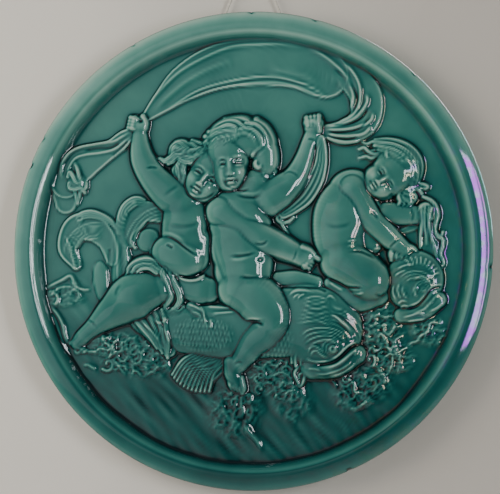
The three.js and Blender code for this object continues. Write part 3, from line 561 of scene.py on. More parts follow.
    # head: saddle, brow, cheek, jaw
    c.ball((57, -66, 2.2), (35, 34, 9.5), -25, 3)
    c.roll([(50, -97, 1.5, 10.5), (70, -95, 2, 11), (87, -87, 2, 8)], 0.6, 1)
    c.roll([(22, -24.5, 1.6, 5.5), (38, -24.5, 1.6, 6.5), (54, -28, 1.4, 5.5)], 0.5, 0)
    c.stroke([(20, -31.5), (40, -32), (55, -32.5), (63, -35.5)], 1.0, -1.6, 0.1)
    lock(c, [(31.5, -41, 6.2, 1.5), (33, -37, 6.8, 1.7), (38, -34.6, 6.8, 1.9), (45, -34.6, 6.8, 1.9),
             (52, -36, 6.6, 1.5)], 1)
    wrinkles(c, [[(35.5, -41), (37, -38.5), (41, -37)], [(38.5, -41.5), (41, -38.5), (45, -37.2)]], 0.8, 1.1)
    for path in ([(58, -42, 8, 1.2), (63, -43.5, 8.2, 1.4), (65, -47, 8.2, 1.4), (70, -49.5, 7.6, 1.3)],
                 [(61, -42.5, 8, 1.1), (65, -39, 7.6, 1.3), (69, -41.5, 7.2, 1.3), (71.5, -45.5, 7, 1.1)]):
        lock(c, path, 1)
    # wrinkles over the brow, bowed, then arcs closing round the eye
    arcs(c, (62, -80), [(20 + 3.1 * k, 19 + 3.3 * k) for k in range(5)], 12, 96, 0.75, 0.8, -8)
    for k in range(7):
        v = -40.5 - 3.3 * k
        c.stroke([(43 - k, v - 1.5), (50, v + 0.8), (57, v + 0.6), (65 + 0.6 * k, v - 2.5 - 0.4 * k)],
                 0.9, 1.2, 0.25)
    for k in range(5):
        c.stroke([(66 + 2.6 * k, -54 - 1.5 * k), (72 + 2.3 * k, -57.5 - 1.8 * k), (77 + 2 * k, -63 - 2 * k)],
                 0.8, 1.2, 0.25)
    wrinkles(c, [[(41, -73), (45, -68.5), (51, -66), (60, -65.2), (70, -66.8), (77, -70.5), (80.5, -73)],
                 [(42, -76), (47, -71.5), (54, -69), (62, -68.6), (70, -70), (76, -74), (78, -78.5)],
                 [(44, -79), (49, -74.8), (56, -72.2), (63, -71.6), (69, -73), (74, -77)],
                 [(47, -81), (52, -77.8), (58, -75.6), (64, -75), (69, -76.6), (73, -80)]], 0.8, 1.15)
    c.ball((67.5, -82.5, 9), (4.4, 4.2, 2.6), 0, 0.4)
    arcs(c, (67.5, -82.5), [(2.2, 2.0), (5.6, 5.0), (8.6, 7.6)], -40, 250, 0.6, 0.9)
    c.swell((67.5, -82.5), (1.2, 1.2), -1.4)
    lock(c, [(59.5, -80, 9.4, 1.0), (61, -83.5, 9.4, 1.2), (63.5, -86.5, 9, 1.2), (68, -87.6, 8.4, 0.9)], 1)
    wrinkles(c, [[(49.5, -89), (50.5, -85.5), (54, -84), (57, -86.5), (60.5, -89), (65, -90)],
                 [(47, -87), (48.5, -82), (53, -80.5), (57, -83), (60, -86)],
                 [(44, -90), (50, -92.5), (58, -93), (65, -92)]], 0.8, 1.1)
    # mouth, lips and lower jaw
    c.stroke([(91, -78), (84, -80.5), (79, -84.5), (74, -89.5), (68, -93.5), (60, -95.5), (52, -96)],
             1.3, -3.0, 0.15)
    c.stroke([(89, -76.5), (81, -79.5), (76, -83.8), (71, -88.6), (65, -91.6)], 1.0, 1.5, 0.2)
    c.stroke([(90, -81), (83, -86), (77, -91.4), (70, -96), (61, -98.6)], 1.1, 1.5, 0.2)
    wrinkles(c, [[(84, -92), (78, -97), (70, -101), (60, -103.5), (51, -102.5)],
                 [(88, -92.5), (82, -98), (74, -103), (64, -106)],
                 [(46, -99), (52, -99), (58, -100.5)], [(85.5, -88.5), (86.5, -85), (84.6, -83.4)]], 0.8, 0.9)
    # gill edge and the drop of foam at its foot
    for stations in ([(46, -69, 8, 1.2), (41, -74, 7, 1.5), (38, -81, 6.4, 1.7), (36.5, -89, 5.4, 1.7),
                      (37, -97, 4, 1.3)],
                     [(42, -72, 6, 1.0), (36.5, -78, 5.4, 1.3), (33.8, -86, 4.6, 1.4), (33.6, -94, 3.4, 1.1)],
                     [(46, -75, 8.4, 1.0), (42.4, -82, 7.4, 1.2), (40.6, -89, 6.2, 1.2), (41, -96, 5, 0.9)]):
        lock(c, stations, 1)
    lock(c, [(39, -97, 3.6, 1.2), (35.8, -103, 3.2, 1.4), (38, -109, 2.6, 1.4), (40.5, -113.5, 2, 1.2),
             (43.4, -107.5, 2.8, 1.4),
             (43, -102.5, 3.2, 1.2), (39.6, -104, 3.2, 1.1), (39.6, -107, 2.8, 0.9)], 1)
    return c


def far_dolphin():
    """A round head with a lower jaw, and wrinkles round brow and eye."""
    c = Clay()
    c.ball((135, -26, 1.8), (23.5, 25, 7.5), -25, 3)
    c.roll([(124, -55, 0.8, 6), (140, -52, 1.4, 7.5), (154, -42, 1.6, 7)], 0.6, 1)
    c.stroke([(159, -31), (149, -33.5), (142, -42), (136, -47.5), (128, -50)], 1.2, -2.6, 0.15)
    c.stroke([(160, -29.5), (151, -31), (144, -38), (138, -44.5), (129, -47.6)], 1.0, 1.3, 0.2)
    c.stroke([(158, -35), (152.5, -39), (147.5, -45), (141.5, -50.5), (131, -53.5)], 1.0, 1.3, 0.2)
    # lashes round the brow
    for k in range(9):
        angle = math.radians(118 - 13 * k)
        inner, outer = (137 + 12 * math.cos(angle), -25 + 11 * math.sin(angle)), \
                       (136 + 20.5 * math.cos(angle), -24.5 + 19 * math.sin(angle))
        middle = ((inner[0] + outer[0]) / 2 + 0.8, (inner[1] + outer[1]) / 2 + 0.9)
        c.stroke([inner, middle, outer], 0.9, 1.3, 0.25)
    arcs(c, (137, -33), [(11 + 3 * k, 9 + 2.6 * k) for k in range(3)], 40, 165, 0.8, 1.15, -14)
    wrinkles(c, [[(120, -17), (125, -14.5), (130, -13.2), (136, -13.6)],
                 [(118, -23), (123, -19.5), (129, -17.6)],
                 [(133, -26), (140, -23), (146, -26), (150, -30)], [(136, -30), (134.6, -35), (137, -40.5)],
                 [(118, -29), (117, -36), (120, -43)], [(122, -28), (121, -35), (124, -42)],
                 [(126, -30), (125.4, -36), (128.5, -42)], [(121, -46), (124.5, -43), (129, -43.5)],
                 [(122, -50), (126, -47), (131, -48)], [(124, -57), (132, -55), (139, -53.2), (144, -56)],
                 [(128, -60.5), (136, -59), (145, -58)], [(147, -52), (154, -48.5), (160, -43)]], 0.8, 1.1)
    c.ball((142, -33, 7.4), (3.4, 3.4, 2.0), 0, 0.3)
    arcs(c, (142, -33), [(4.6, 4.4), (7, 6.4)], -60, 240, 0.6, 0.9)
    c.swell((142, -33), (1.0, 1.0), -1.2)
    return c


# ---- Plaque: the cloth --------------------------------------------------------------------------------
# One long cloth, held up by the left and middle putti, fills with wind between them and behind the
# middle one, and its ends blow away to both sides. Thin sheets of clay with the folds pressed up.


def billowing_cloth():
    """The sail, its right lobe, its left tail with the knot, and the wisp beside the middle putto."""
    c = Clay()
    sail = [(-88, 113, 0.4, 4), (-75, 125, 0.2, 9), (-56, 141, 0, 15), (-30, 153.5, 0, 18.5),
            (0, 157.5, 0, 19.5), (35, 155, 0, 19), (62, 146, 0, 19)]
    c.cloth(sail, [(0.97, 0.9, 0.9), (-0.96, 0.9, 0.9)], 1.1)
    for path, width, rise in (
            ([(-90, 116), (-80, 131), (-63, 148.5), (-42, 161), (-18, 170.5), (6, 172.5), (30, 172),
              (54, 167)], 1.5, 1.3),
            ([(-86, 114), (-70, 130), (-52, 144), (-30, 155), (-8, 161)], 2.4, 0.9),
            ([(-84, 111), (-66, 122), (-45, 134), (-24, 140.5), (0, 144.5), (20, 145), (40, 140), (56, 132),
              (67, 124)], 1.1, 1.3),
            ([(-60, 123), (-40, 132), (-18, 137.6), (4, 140.4), (24, 140), (44, 135), (58, 128)], 0.9, 0.8),
            ([(10, 150), (28, 149.5), (44, 145), (58, 137)], 3.2, 0.7)):
        c.stroke(path, width, rise, 0.25)
    c.stroke([(-66, 120), (-46, 131.5), (-24, 138), (0, 142.3), (22, 142.6), (44, 137), (62, 126)],
             0.8, -0.6, 0.2)
    # right lobe: the cloth turns over and comes back to the hand in hanging folds
    lobe = [(52, 160, 0, 9), (78, 148, 0.4, 11), (95, 129, 1, 13), (94, 108, 1.4, 12), (78, 98, 1.8, 10),
            (61, 98.5, 2.2, 5)]
    c.cloth(lobe, [], 1.1)
    for path, width, rise in (
            ([(45, 170), (60, 162.5), (75, 149.5), (83, 136), (84.5, 124), (79, 115.5), (71, 109.5),
              (60, 106)], 1.5, 1.5),
            ([(76, 157), (84, 149), (89.5, 139), (91, 128), (87.5, 116), (80, 109), (62, 104.5)], 1.3, 1.9),
            ([(95.5, 131), (96.5, 123), (91, 114), (83, 107.5), (72, 103.5), (60, 102.5)], 1.5, 2.2),
            ([(101.5, 115), (100, 108), (93, 103.5), (82, 100.4), (71, 99.6), (60, 99.8)], 1.4, 2.2),
            ([(101, 104), (94, 96.5), (83, 94.4), (72, 94.6), (62, 96.6)], 1.4, 2.2),
            ([(92, 90), (80, 89.2), (70, 91), (61, 94)], 1.3, 1.8)):
        c.stroke(path, width, rise, 0.15)
    for path, width, rise in (
            ([(68, 153), (78, 144), (87, 131), (88, 121), (82, 112)], 1.5, -1.2),
            ([(98, 118), (91, 109), (80, 104.6), (66, 103.4)], 1.0, -1.5),
            ([(99, 110), (90, 101), (76, 98), (62, 98.4)], 1.0, -1.4),
            ([(90, 94), (80, 92), (70, 93), (62, 95.4)], 1.0, -1.3),
            ([(62, 108), (68, 109.5), (75, 111.5), (81, 114)], 2.2, -3.0)):
        c.stroke(path, width, rise, 0.15)
    # left tail, its knot and its two ends
    tail = [(-99, 100, 2.6, 3), (-107, 94.5, 1.4, 6), (-118, 86, 0.6, 7), (-130, 80, 0.4, 10.5),
            (-142, 74, 0.4, 14),
            (-152, 66, 0.4, 14), (-157, 56, 0.4, 12)]
    c.cloth(tail, [(-0.97, 1.0, 1.1), (0.96, 0.8, 0.7)], 1.1)
    for path, width, rise in (
            ([(-99, 101), (-109, 95.5), (-117, 91.5), (-130, 89.6), (-143, 87.4), (-152, 83.5), (-159, 75),
              (-161, 66), (-159, 59)], 1.3, 1.7),
            ([(-99.5, 97.5), (-108, 90.5), (-117, 84.6), (-128, 82), (-140, 80.6), (-149, 77.5), (-154.5, 69),
              (-156, 61)], 1.1, 1.5),
            ([(-101, 95), (-107, 85), (-114, 76), (-122, 70)], 1.0, 1.3),
            ([(-154, 82), (-162, 72), (-166.5, 62), (-168.5, 52)], 1.1, 1.0),
            ([(-103, 93), (-111, 85), (-118, 79)], 1.2, -0.9),
            ([(-110, 90.5), (-119, 86.6), (-130, 85.8), (-142, 84)], 1.3, -1.2)):
        c.stroke(path, width, rise, 0.15)
    c.cloth([(-160, 58, 0, 6), (-158, 48, 0, 10), (-157, 40, 0, 9)], [(0.9, 1.2, 0.7), (-0.9, 1.2, 0.6)], 0.9)
    c.ball((-147.5, 57, 0.8), (8.5, 8, 3.0), -35, 0.6)
    for stations in ([(-155, 62, 2, 1.8), (-153.5, 65.5, 2.6, 1.8), (-150.5, 62, 3.4, 2),
                      (-148, 57.5, 3.4, 1.9), (-144, 55.5, 3, 1.5)],
                     [(-149.5, 73.5, 1.4, 1.3), (-147, 68, 2.4, 1.6), (-145.5, 62, 3, 1.7),
                      (-143.6, 57, 3, 1.5)],
                     [(-154, 56.5, 2, 1.8), (-153.4, 52.6, 2.4, 1.8), (-149, 51.4, 2.8, 1.8),
                      (-144, 52.5, 3, 1.7), (-141, 49, 2, 1.4)],
                     [(-139.6, 57, 1.6, 1.5), (-140, 53, 2.2, 1.5), (-143, 50, 2.4, 1.3)],
                     [(-149.5, 51, 2, 1.8), (-148, 45, 1.4, 1.7), (-147, 39.5, 0.9, 1.5)],
                     [(-144.6, 50, 2, 1.5), (-145.6, 45, 1.4, 1.5), (-146.6, 40.5, 0.8, 1.2)]):
        lock(c, stations, 2)
    # cloth from the middle putto's raised hand down to the two loops beside him
    wisp = [(58, 92, 3, 3), (58.5, 82, 2, 4), (57.5, 70, 1.4, 5), (53, 57, 1.2, 6.4), (45, 44, 1.2, 6.4),
            (35, 35, 1.2, 5),
            (27, 30, 1.2, 4)]
    c.cloth(wisp, [(0.9, 1.0, 1.5), (0.3, 1.1, 1.3), (-0.3, 1.1, 1.4), (-0.9, 1.0, 1.6)], 1.2)
    for stations in ([(36, 33, 2, 1.4), (30, 33, 2.2, 1.6), (23.5, 30.5, 2.2, 1.7), (21.5, 26, 1.8, 1.6),
                      (25, 22.5, 1.6, 1.5),
                      (31, 23.5, 1.6, 1.4), (35, 27, 1.6, 1.2)],
                     [(32, 29.4, 2.2, 1.3), (27, 28.6, 2.2, 1.4), (24.6, 24, 1.8, 1.4), (27, 18, 1.4, 1.4),
                      (31, 12, 1, 1.1)]):
        lock(c, stations, 2)
    return c

# ---- Plaque: the left putto ---------------------------------------------------------------------------
# Leans back on the near dolphin's tail with one arm raised to the cloth and one leg stretched out. A
# twisted sash crosses his lap. Built up in clay as limbs and belly first, then the head, hair and folds.


def face(c, at, size, tilt, yaw, height):
    """A calm infant's face on usual proportions. Lengths are in size, the distance from the eyes' line
    to the chin. x runs across the face and y up it, wrapped on a ball of radius 0.98 that is turned by
    yaw and then tilted: across = 0.98 sin(asin(x / 0.98) + yaw)."""
    ball_radius = 0.98

    def put(x, y):
        wrapped = ball_radius * math.sin(math.asin(x / ball_radius) + math.radians(yaw))
        t = math.radians(tilt)
        return (at[0] + size * (wrapped * math.cos(t) - y * math.sin(t)),
                at[1] + size * (wrapped * math.sin(t) + y * math.cos(t)))

    def shrink(x):
        return max(0.35, math.cos(math.asin(x / ball_radius) + math.radians(yaw)))

    def mass(x, y, lift, a, b, rise, soft=0.10):
        c.ball((*put(x, y), height + lift * size), (a * shrink(x) * size, b * size, rise * size), tilt,
               soft * size)

    def press(x, y, a, b, rise):
        c.swell(put(x, y), (a * shrink(x) * size, b * size), rise * size, tilt)

    def cut(path, width, rise, fade=0.3):
        c.stroke([put(x, y) for x, y in path], width * size, rise * size, fade, 4)

    shift = 0.35 * math.sin(math.radians(yaw))
    mass(shift * 0.3, 0.42, 0.0, 1.02, 0.98, 0.42)          # forehead and skull
    mass(shift * 0.5, -0.25, 0.06, 0.84, 0.80, 0.38)        # jaw
    for s in (-1, 1):
        press(s * 0.46, -0.40, 0.30, 0.28, 0.10)            # cheek
        press(s * 0.34, 0.20, 0.26, 0.10, 0.045)            # brow
        press(s * 0.35, 0.00, 0.21, 0.15, -0.15)            # eye socket
        press(s * 0.36, -0.02, 0.15, 0.10, 0.10)            # eyeball
        cut([(s * 0.18, -0.02), (s * 0.28, 0.07), (s * 0.42, 0.08), (s * 0.56, -0.02)], 0.035, 0.07)
        cut([(s * 0.20, 0.06), (s * 0.34, 0.15), (s * 0.52, 0.08)], 0.035, -0.05)
        cut([(s * 0.20, -0.05), (s * 0.36, -0.02), (s * 0.53, -0.06)], 0.028, -0.07)
        cut([(s * 0.20, -0.08), (s * 0.36, -0.12), (s * 0.53, -0.09)], 0.035, 0.045)
        press(s * 0.12, -0.42, 0.08, 0.07, 0.075)           # wing of the nose
        press(s * 0.07, -0.50, 0.05, 0.03, -0.09)           # nostril
        press(s * 0.25, -0.68, 0.06, 0.06, -0.06)           # corner of the mouth
    press(0, 0.02, 0.10, 0.20, 0.07)
    press(0, -0.20, 0.10, 0.18, 0.10)
    press(0, -0.38, 0.11, 0.10, 0.15)                       # tip of the nose
    cut([(-0.24, -0.67), (-0.09, -0.60), (0, -0.625), (0.09, -0.60), (0.24, -0.67)], 0.05, 0.09)
    cut([(-0.25, -0.68), (-0.08, -0.655), (0, -0.67), (0.08, -0.655), (0.25, -0.68)], 0.026, -0.14)
    cut([(-0.17, -0.73), (0, -0.755), (0.17, -0.73)], 0.055, 0.10)
    press(0, -0.84, 0.16, 0.05, -0.05)
    press(0, -0.93, 0.20, 0.13, 0.09)                       # chin


def fingers(c, roots, tips, radius, height, drop=1.0):
    """Fingers side by side, bent at the middle: each runs from its root to its tip with the knuckle
    raised between them."""
    for (u0, v0), (u1, v1) in zip(roots, tips):
        middle = ((u0 + u1) / 2, (v0 + v1) / 2, height + 0.5, radius)
        c.roll([(u0, v0, height, radius), middle, (u1, v1, height - drop, radius * 0.85)], 0.8, 0.15)


def left_putto():
    """Trunk, raised arm, leg, head, hair, hand and sash, laid over the cloth that falls below."""
    c = Clay()
    # chest, ribs, flank and belly
    c.roll([(-57, 36, 1.5, 17), (-56, 24, 2, 18.5), (-57, 12, 2, 18)], 0.42)
    c.roll([(-50, 8, 1.5, 15), (-50, -6, 1.5, 14)], 0.4)
    c.swell((-64, 28), (9, 7), 1.2)
    c.swell((-46, 26), (8, 7), 1.0)
    c.stroke([(-72, 22), (-62, 19), (-50, 20), (-40, 25)], 2.0, -0.7)
    c.ball((-61.5, -5, 3), (22.5, 16.8, 8), -18, 1)
    c.stroke([(-78, 11), (-69, 10.5), (-62, 7), (-55, 1.5), (-47, -4), (-42, -5)], 0.9, -1.8)
    c.stroke([(-77, 14), (-68, 13.5), (-60, 10), (-53, 4.5)], 1.6, 0.8)
    c.stroke([(-70.5, 4.5), (-65, 1)], 0.8, -1.6, 0.2)
    c.swell((-67, 5), (5, 3), 0.5)
    # raised arm: wrist, forearm, elbow, upper arm, shoulder
    c.roll([(-94.5, 99, 3, 5.5), (-94, 88, 2.8, 7.4), (-91, 75, 2.5, 9.8), (-82, 60, 2.5, 11.5),
            (-69, 47, 2, 14.5), (-60, 40, 2, 14)], 0.55)
    c.stroke([(-88, 68.5), (-83, 69), (-78, 68)], 0.9, -1.1, 0.3)
    c.stroke([(-74, 44), (-66, 50), (-60, 55)], 1.6, -0.6)
    # leg: hip, thigh, knee, calf, ankle, foot
    c.roll([(-78, -32, 2.5, 13), (-92, -36, 3.2, 18.5), (-103, -42, 3.2, 19), (-119, -53.5, 2.2, 12.5),
            (-133, -65, 1.6, 7.5), (-141, -72, 1.4, 6.2)], 0.6)
    c.swell((-110, -40), (8, 7), 0.9, 40)
    c.stroke([(-108, -28), (-112, -34), (-113, -40)], 1.4, -0.7)
    c.stroke([(-128, -66), (-134, -60), (-138, -58)], 0.8, -0.8)
    c.roll([(-136, -67, 1.6, 6.2), (-143, -74, 1.4, 6.2), (-147, -78, 1.0, 5.2)], 0.55, 1)
    fingers(c, [(-145.5 + 2.3 * k, -78.5 - 1.8 * k) for k in range(4)],
            [(-149.5 + 2.3 * k, -81.5 - 1.5 * k) for k in range(4)], 1.35, 1.6, 0.8)
    c.roll([(-147, -75, 1.6, 2.2), (-152, -78, 1.2, 1.9)], 0.8, 0.3)
    # neck folds
    c.roll([(-59, 48, 1.5, 3), (-55.5, 38, 1.8, 3.2), (-49, 34, 2, 3.2), (-42, 36, 1.8, 3)], 0.6, 1)
    head = Clay()
    face(head, (-44.5, 65.5), 20.5, -35, 24, 3.5)
    c.lay(head, bite=1.2)
    c.stroke([(-56, 52), (-53, 46), (-48, 43), (-41, 42), (-34, 44.5), (-29.5, 49)], 0.9, -1.4, 0.2)
    # hair, lock by lock
    hair = Clay()
    for stations in (
            [(-50, 77, 7, 3), (-57, 79, 6, 3.4), (-63, 80.5, 4.5, 3), (-68, 77, 3.4, 2.6),
             (-73, 74.8, 2.4, 2.2),
             (-78, 76.5, 1.4, 1.6), (-79.5, 74, 0.8, 1.2)],
            [(-45, 82, 6.5, 3), (-52, 82.5, 6, 3), (-57, 86, 4.6, 3), (-61, 89, 3.4, 2.8),
             (-66, 86.5, 2.6, 2.4),
             (-68, 81, 2, 2)],
            [(-50, 80, 6.8, 2.6), (-58, 83.5, 5.4, 2.8), (-64, 85.5, 4.2, 2.6), (-66, 81, 3.6, 2.2)],
            [(-52, 86, 4.2, 2.4), (-57, 90, 3, 2.4), (-63, 90, 2.2, 2.2), (-67, 86.5, 1.2, 1.6)],
            [(-51, 73.5, 8, 2.8), (-57, 74.5, 7, 3), (-62, 77.5, 5.2, 2.8), (-66, 74.5, 4, 2.4),
             (-70, 73, 2.6, 1.8)],
            [(-40, 83, 6, 2.8), (-46, 84.5, 5.6, 2.8), (-50, 88, 4, 2.4), (-54, 88.5, 3, 1.8)],
            [(-36, 84, 4.6, 2.2), (-41, 87.5, 4, 2.4), (-46, 89.5, 3, 2.2), (-50, 91.5, 2, 1.6)],
            [(-58, 75, 6.4, 2.8), (-61, 70, 5.6, 2.8), (-61, 64, 4.8, 2.6), (-59, 58, 4.4, 2.2),
             (-60, 53, 3.4, 1.6)],
            [(-61, 72, 4.6, 2.2), (-64.5, 67, 3.4, 2.2), (-63.5, 61, 3, 2), (-66, 57, 2.2, 1.7),
             (-64, 52, 1.8, 1.6),
             (-62, 46.5, 1.6, 1.2)],
            [(-55.5, 73, 7.4, 2.2), (-57, 67, 6.6, 2.2), (-56, 61, 6, 2), (-57.5, 55, 5, 1.7),
             (-56, 49, 4, 1.2)],
            [(-45, 79.5, 7.6, 2.4), (-49, 77, 8.2, 2.4), (-54, 76, 7.4, 2.2), (-57, 72.5, 6.6, 1.8)],
            [(-39, 81.5, 6.8, 2.2), (-42, 80, 7.8, 2.4), (-46, 78, 8.2, 2.2), (-49, 74.5, 8.2, 1.6)]):
        lock(hair, stations)
    c.lay(hair, bite=0.7, width=0.8)
    # hand, closed on the end of the cloth
    c.ball((-95.5, 104.5, 3), (8.2, 6.2, 4), -15, 1)
    fingers(c, [(-97.5 + 0.5 * k, 101.8 + 2.5 * k) for k in range(4)],
            [(-103.5 + 0.6 * k, 103.2 + 2.7 * k) for k in range(4)], 1.5, 5.6, 1.6)
    c.roll([(-91, 101, 4, 2.2), (-89.5, 107, 4.4, 2), (-91.5, 112, 4, 1.8)], 0.8, 0.4)
    c.swell((-93, 108), (1.6, 1.6), -2.4)
    # sash across the lap, its two twisted ropes, and the cloth that falls behind the thigh
    sash = Clay()
    for stations, strands in (
            ([(-113, -33, 1.5, 1.5), (-109, -26, 3, 2), (-103.5, -20.5, 4.4, 2.2), (-102.5, -15, 4.4, 2),
              (-97, -10.5, 4.8, 2.2), (-89, -8.2, 5.2, 2.4), (-82.5, -9.5, 5.6, 2.4), (-78, -15, 6, 2.6)], 2),
            ([(-99.5, -19, 6.6, 1.7), (-96.5, -14.5, 6.4, 2), (-90, -12.2, 6.6, 2), (-84, -12.8, 7, 2),
              (-79, -17, 7.4, 2.4)], 2),
            ([(-95, -18.5, 8, 1.3), (-91, -15.8, 8, 1.6), (-85, -15.8, 8, 1.6), (-79, -19.5, 8, 1.8)], 2),
            ([(-79, -14, 6, 2.6), (-74.5, -19, 7.4, 2.8), (-71.5, -26, 7.4, 2.8), (-69.5, -33, 6.4, 2.8),
              (-67.5, -39, 5.4, 2.6), (-70, -44, 4.4, 2.2), (-72.5, -48, 3, 1.6)], 3),
            ([(-72, -15, 6, 2.4), (-68, -21, 5.6, 2.8), (-64.5, -28, 5, 3), (-61, -35, 4.4, 3),
              (-60, -42, 3.8, 2.6),
              (-63, -48, 3.4, 2.2), (-68, -51.5, 2.6, 1.8)], 3),
            ([(-73, -46, 3.2, 1.4), (-71, -51, 3, 1.5), (-66, -54.5, 2.8, 1.6), (-60.5, -53, 2.8, 1.6),
              (-57, -47.5, 2.6, 1.4)], 2),
            ([(-66, -49, 3.6, 1.2), (-61, -51, 3.6, 1.3), (-57.5, -48.5, 3, 1.1)], 1)):
        lock(sash, stations, strands)
    c.lay(sash, bite=1.2, width=0.9)
    # seat and second leg, under the belly
    c.roll([(-56, -30, 1.4, 10), (-44, -33, 1.6, 12), (-36, -34, 1.4, 10)], 0.35, 1)
    c.stroke([(-66, -18.5), (-60, -23.3), (-52, -25.8), (-44, -24.8), (-39.5, -20.5), (-36, -11)],
             0.9, 2.2, 0.15)
    c.stroke([(-62, -21), (-54, -23.3), (-46, -22.4), (-41.5, -19)], 1.0, -2.4, 0.2)
    c.roll([(-50, -48, 1.6, 5), (-44, -56, 2, 7), (-43, -62, 1.4, 6.5)], 0.5, 1)
    c.stroke([(-54, -45), (-47, -47.5), (-41, -51), (-37.5, -57), (-36.5, -66)], 0.9, 1.5, 0.15)
    c.stroke([(-52, -51), (-45, -53), (-42, -56), (-46, -58), (-52, -57.5), (-55, -59)], 0.9, 1.2, 0.15)
    for k in range(3):
        c.roll([(-48 - 2.4 * k, -48.5 - 0.8 * k, 2, 1.2), (-51 - 2.2 * k, -51.5 - 1.2 * k, 1.8, 1.1)],
               0.8, 0.2)
    # falling cloth below the thigh
    fall = Clay()
    fall.cloth([(-96, -50, 2.4, 7), (-86, -60, 3.0, 9), (-76, -72, 3.2, 8), (-69, -84, 2.2, 5)], [], 1.0)
    for k in range(5):
        lock(fall, [(-99 + 6 * k, -58 + 2 * k, 3.4, 1.5), (-92 + 5 * k, -64.5 + k, 4.8, 2.0),
                    (-84 + 3.6 * k, -73.5 - 0.4 * k, 4.8, 1.9),
                    (-79 + 2.2 * k + (k % 2), -82 - 2 * k, 3.4, 1.2)], 2)
    for path, rise in (([(-87, -50), (-82.5, -57), (-77, -61), (-71, -58.5), (-66, -56), (-58, -57.5)], 1.5),
                       ([(-80, -49), (-77, -55.5), (-73, -57.5), (-67, -54.5)], 1.1),
                       ([(-98, -56), (-90, -62), (-82, -69), (-76, -78)], 1.2),
                       ([(-103, -62), (-96, -66), (-90, -72), (-84, -80)], 1.2),
                       ([(-75, -63), (-71, -70), (-68, -78)], 1.2)):
        fall.stroke(path, 1.1, rise, 0.2)
    return fall.lay(c, bite=1.0)


# ---- Plaque: the middle putto -------------------------------------------------------------------------
# Sits astride, one arm pointing across his body and the other holding up the cloth.


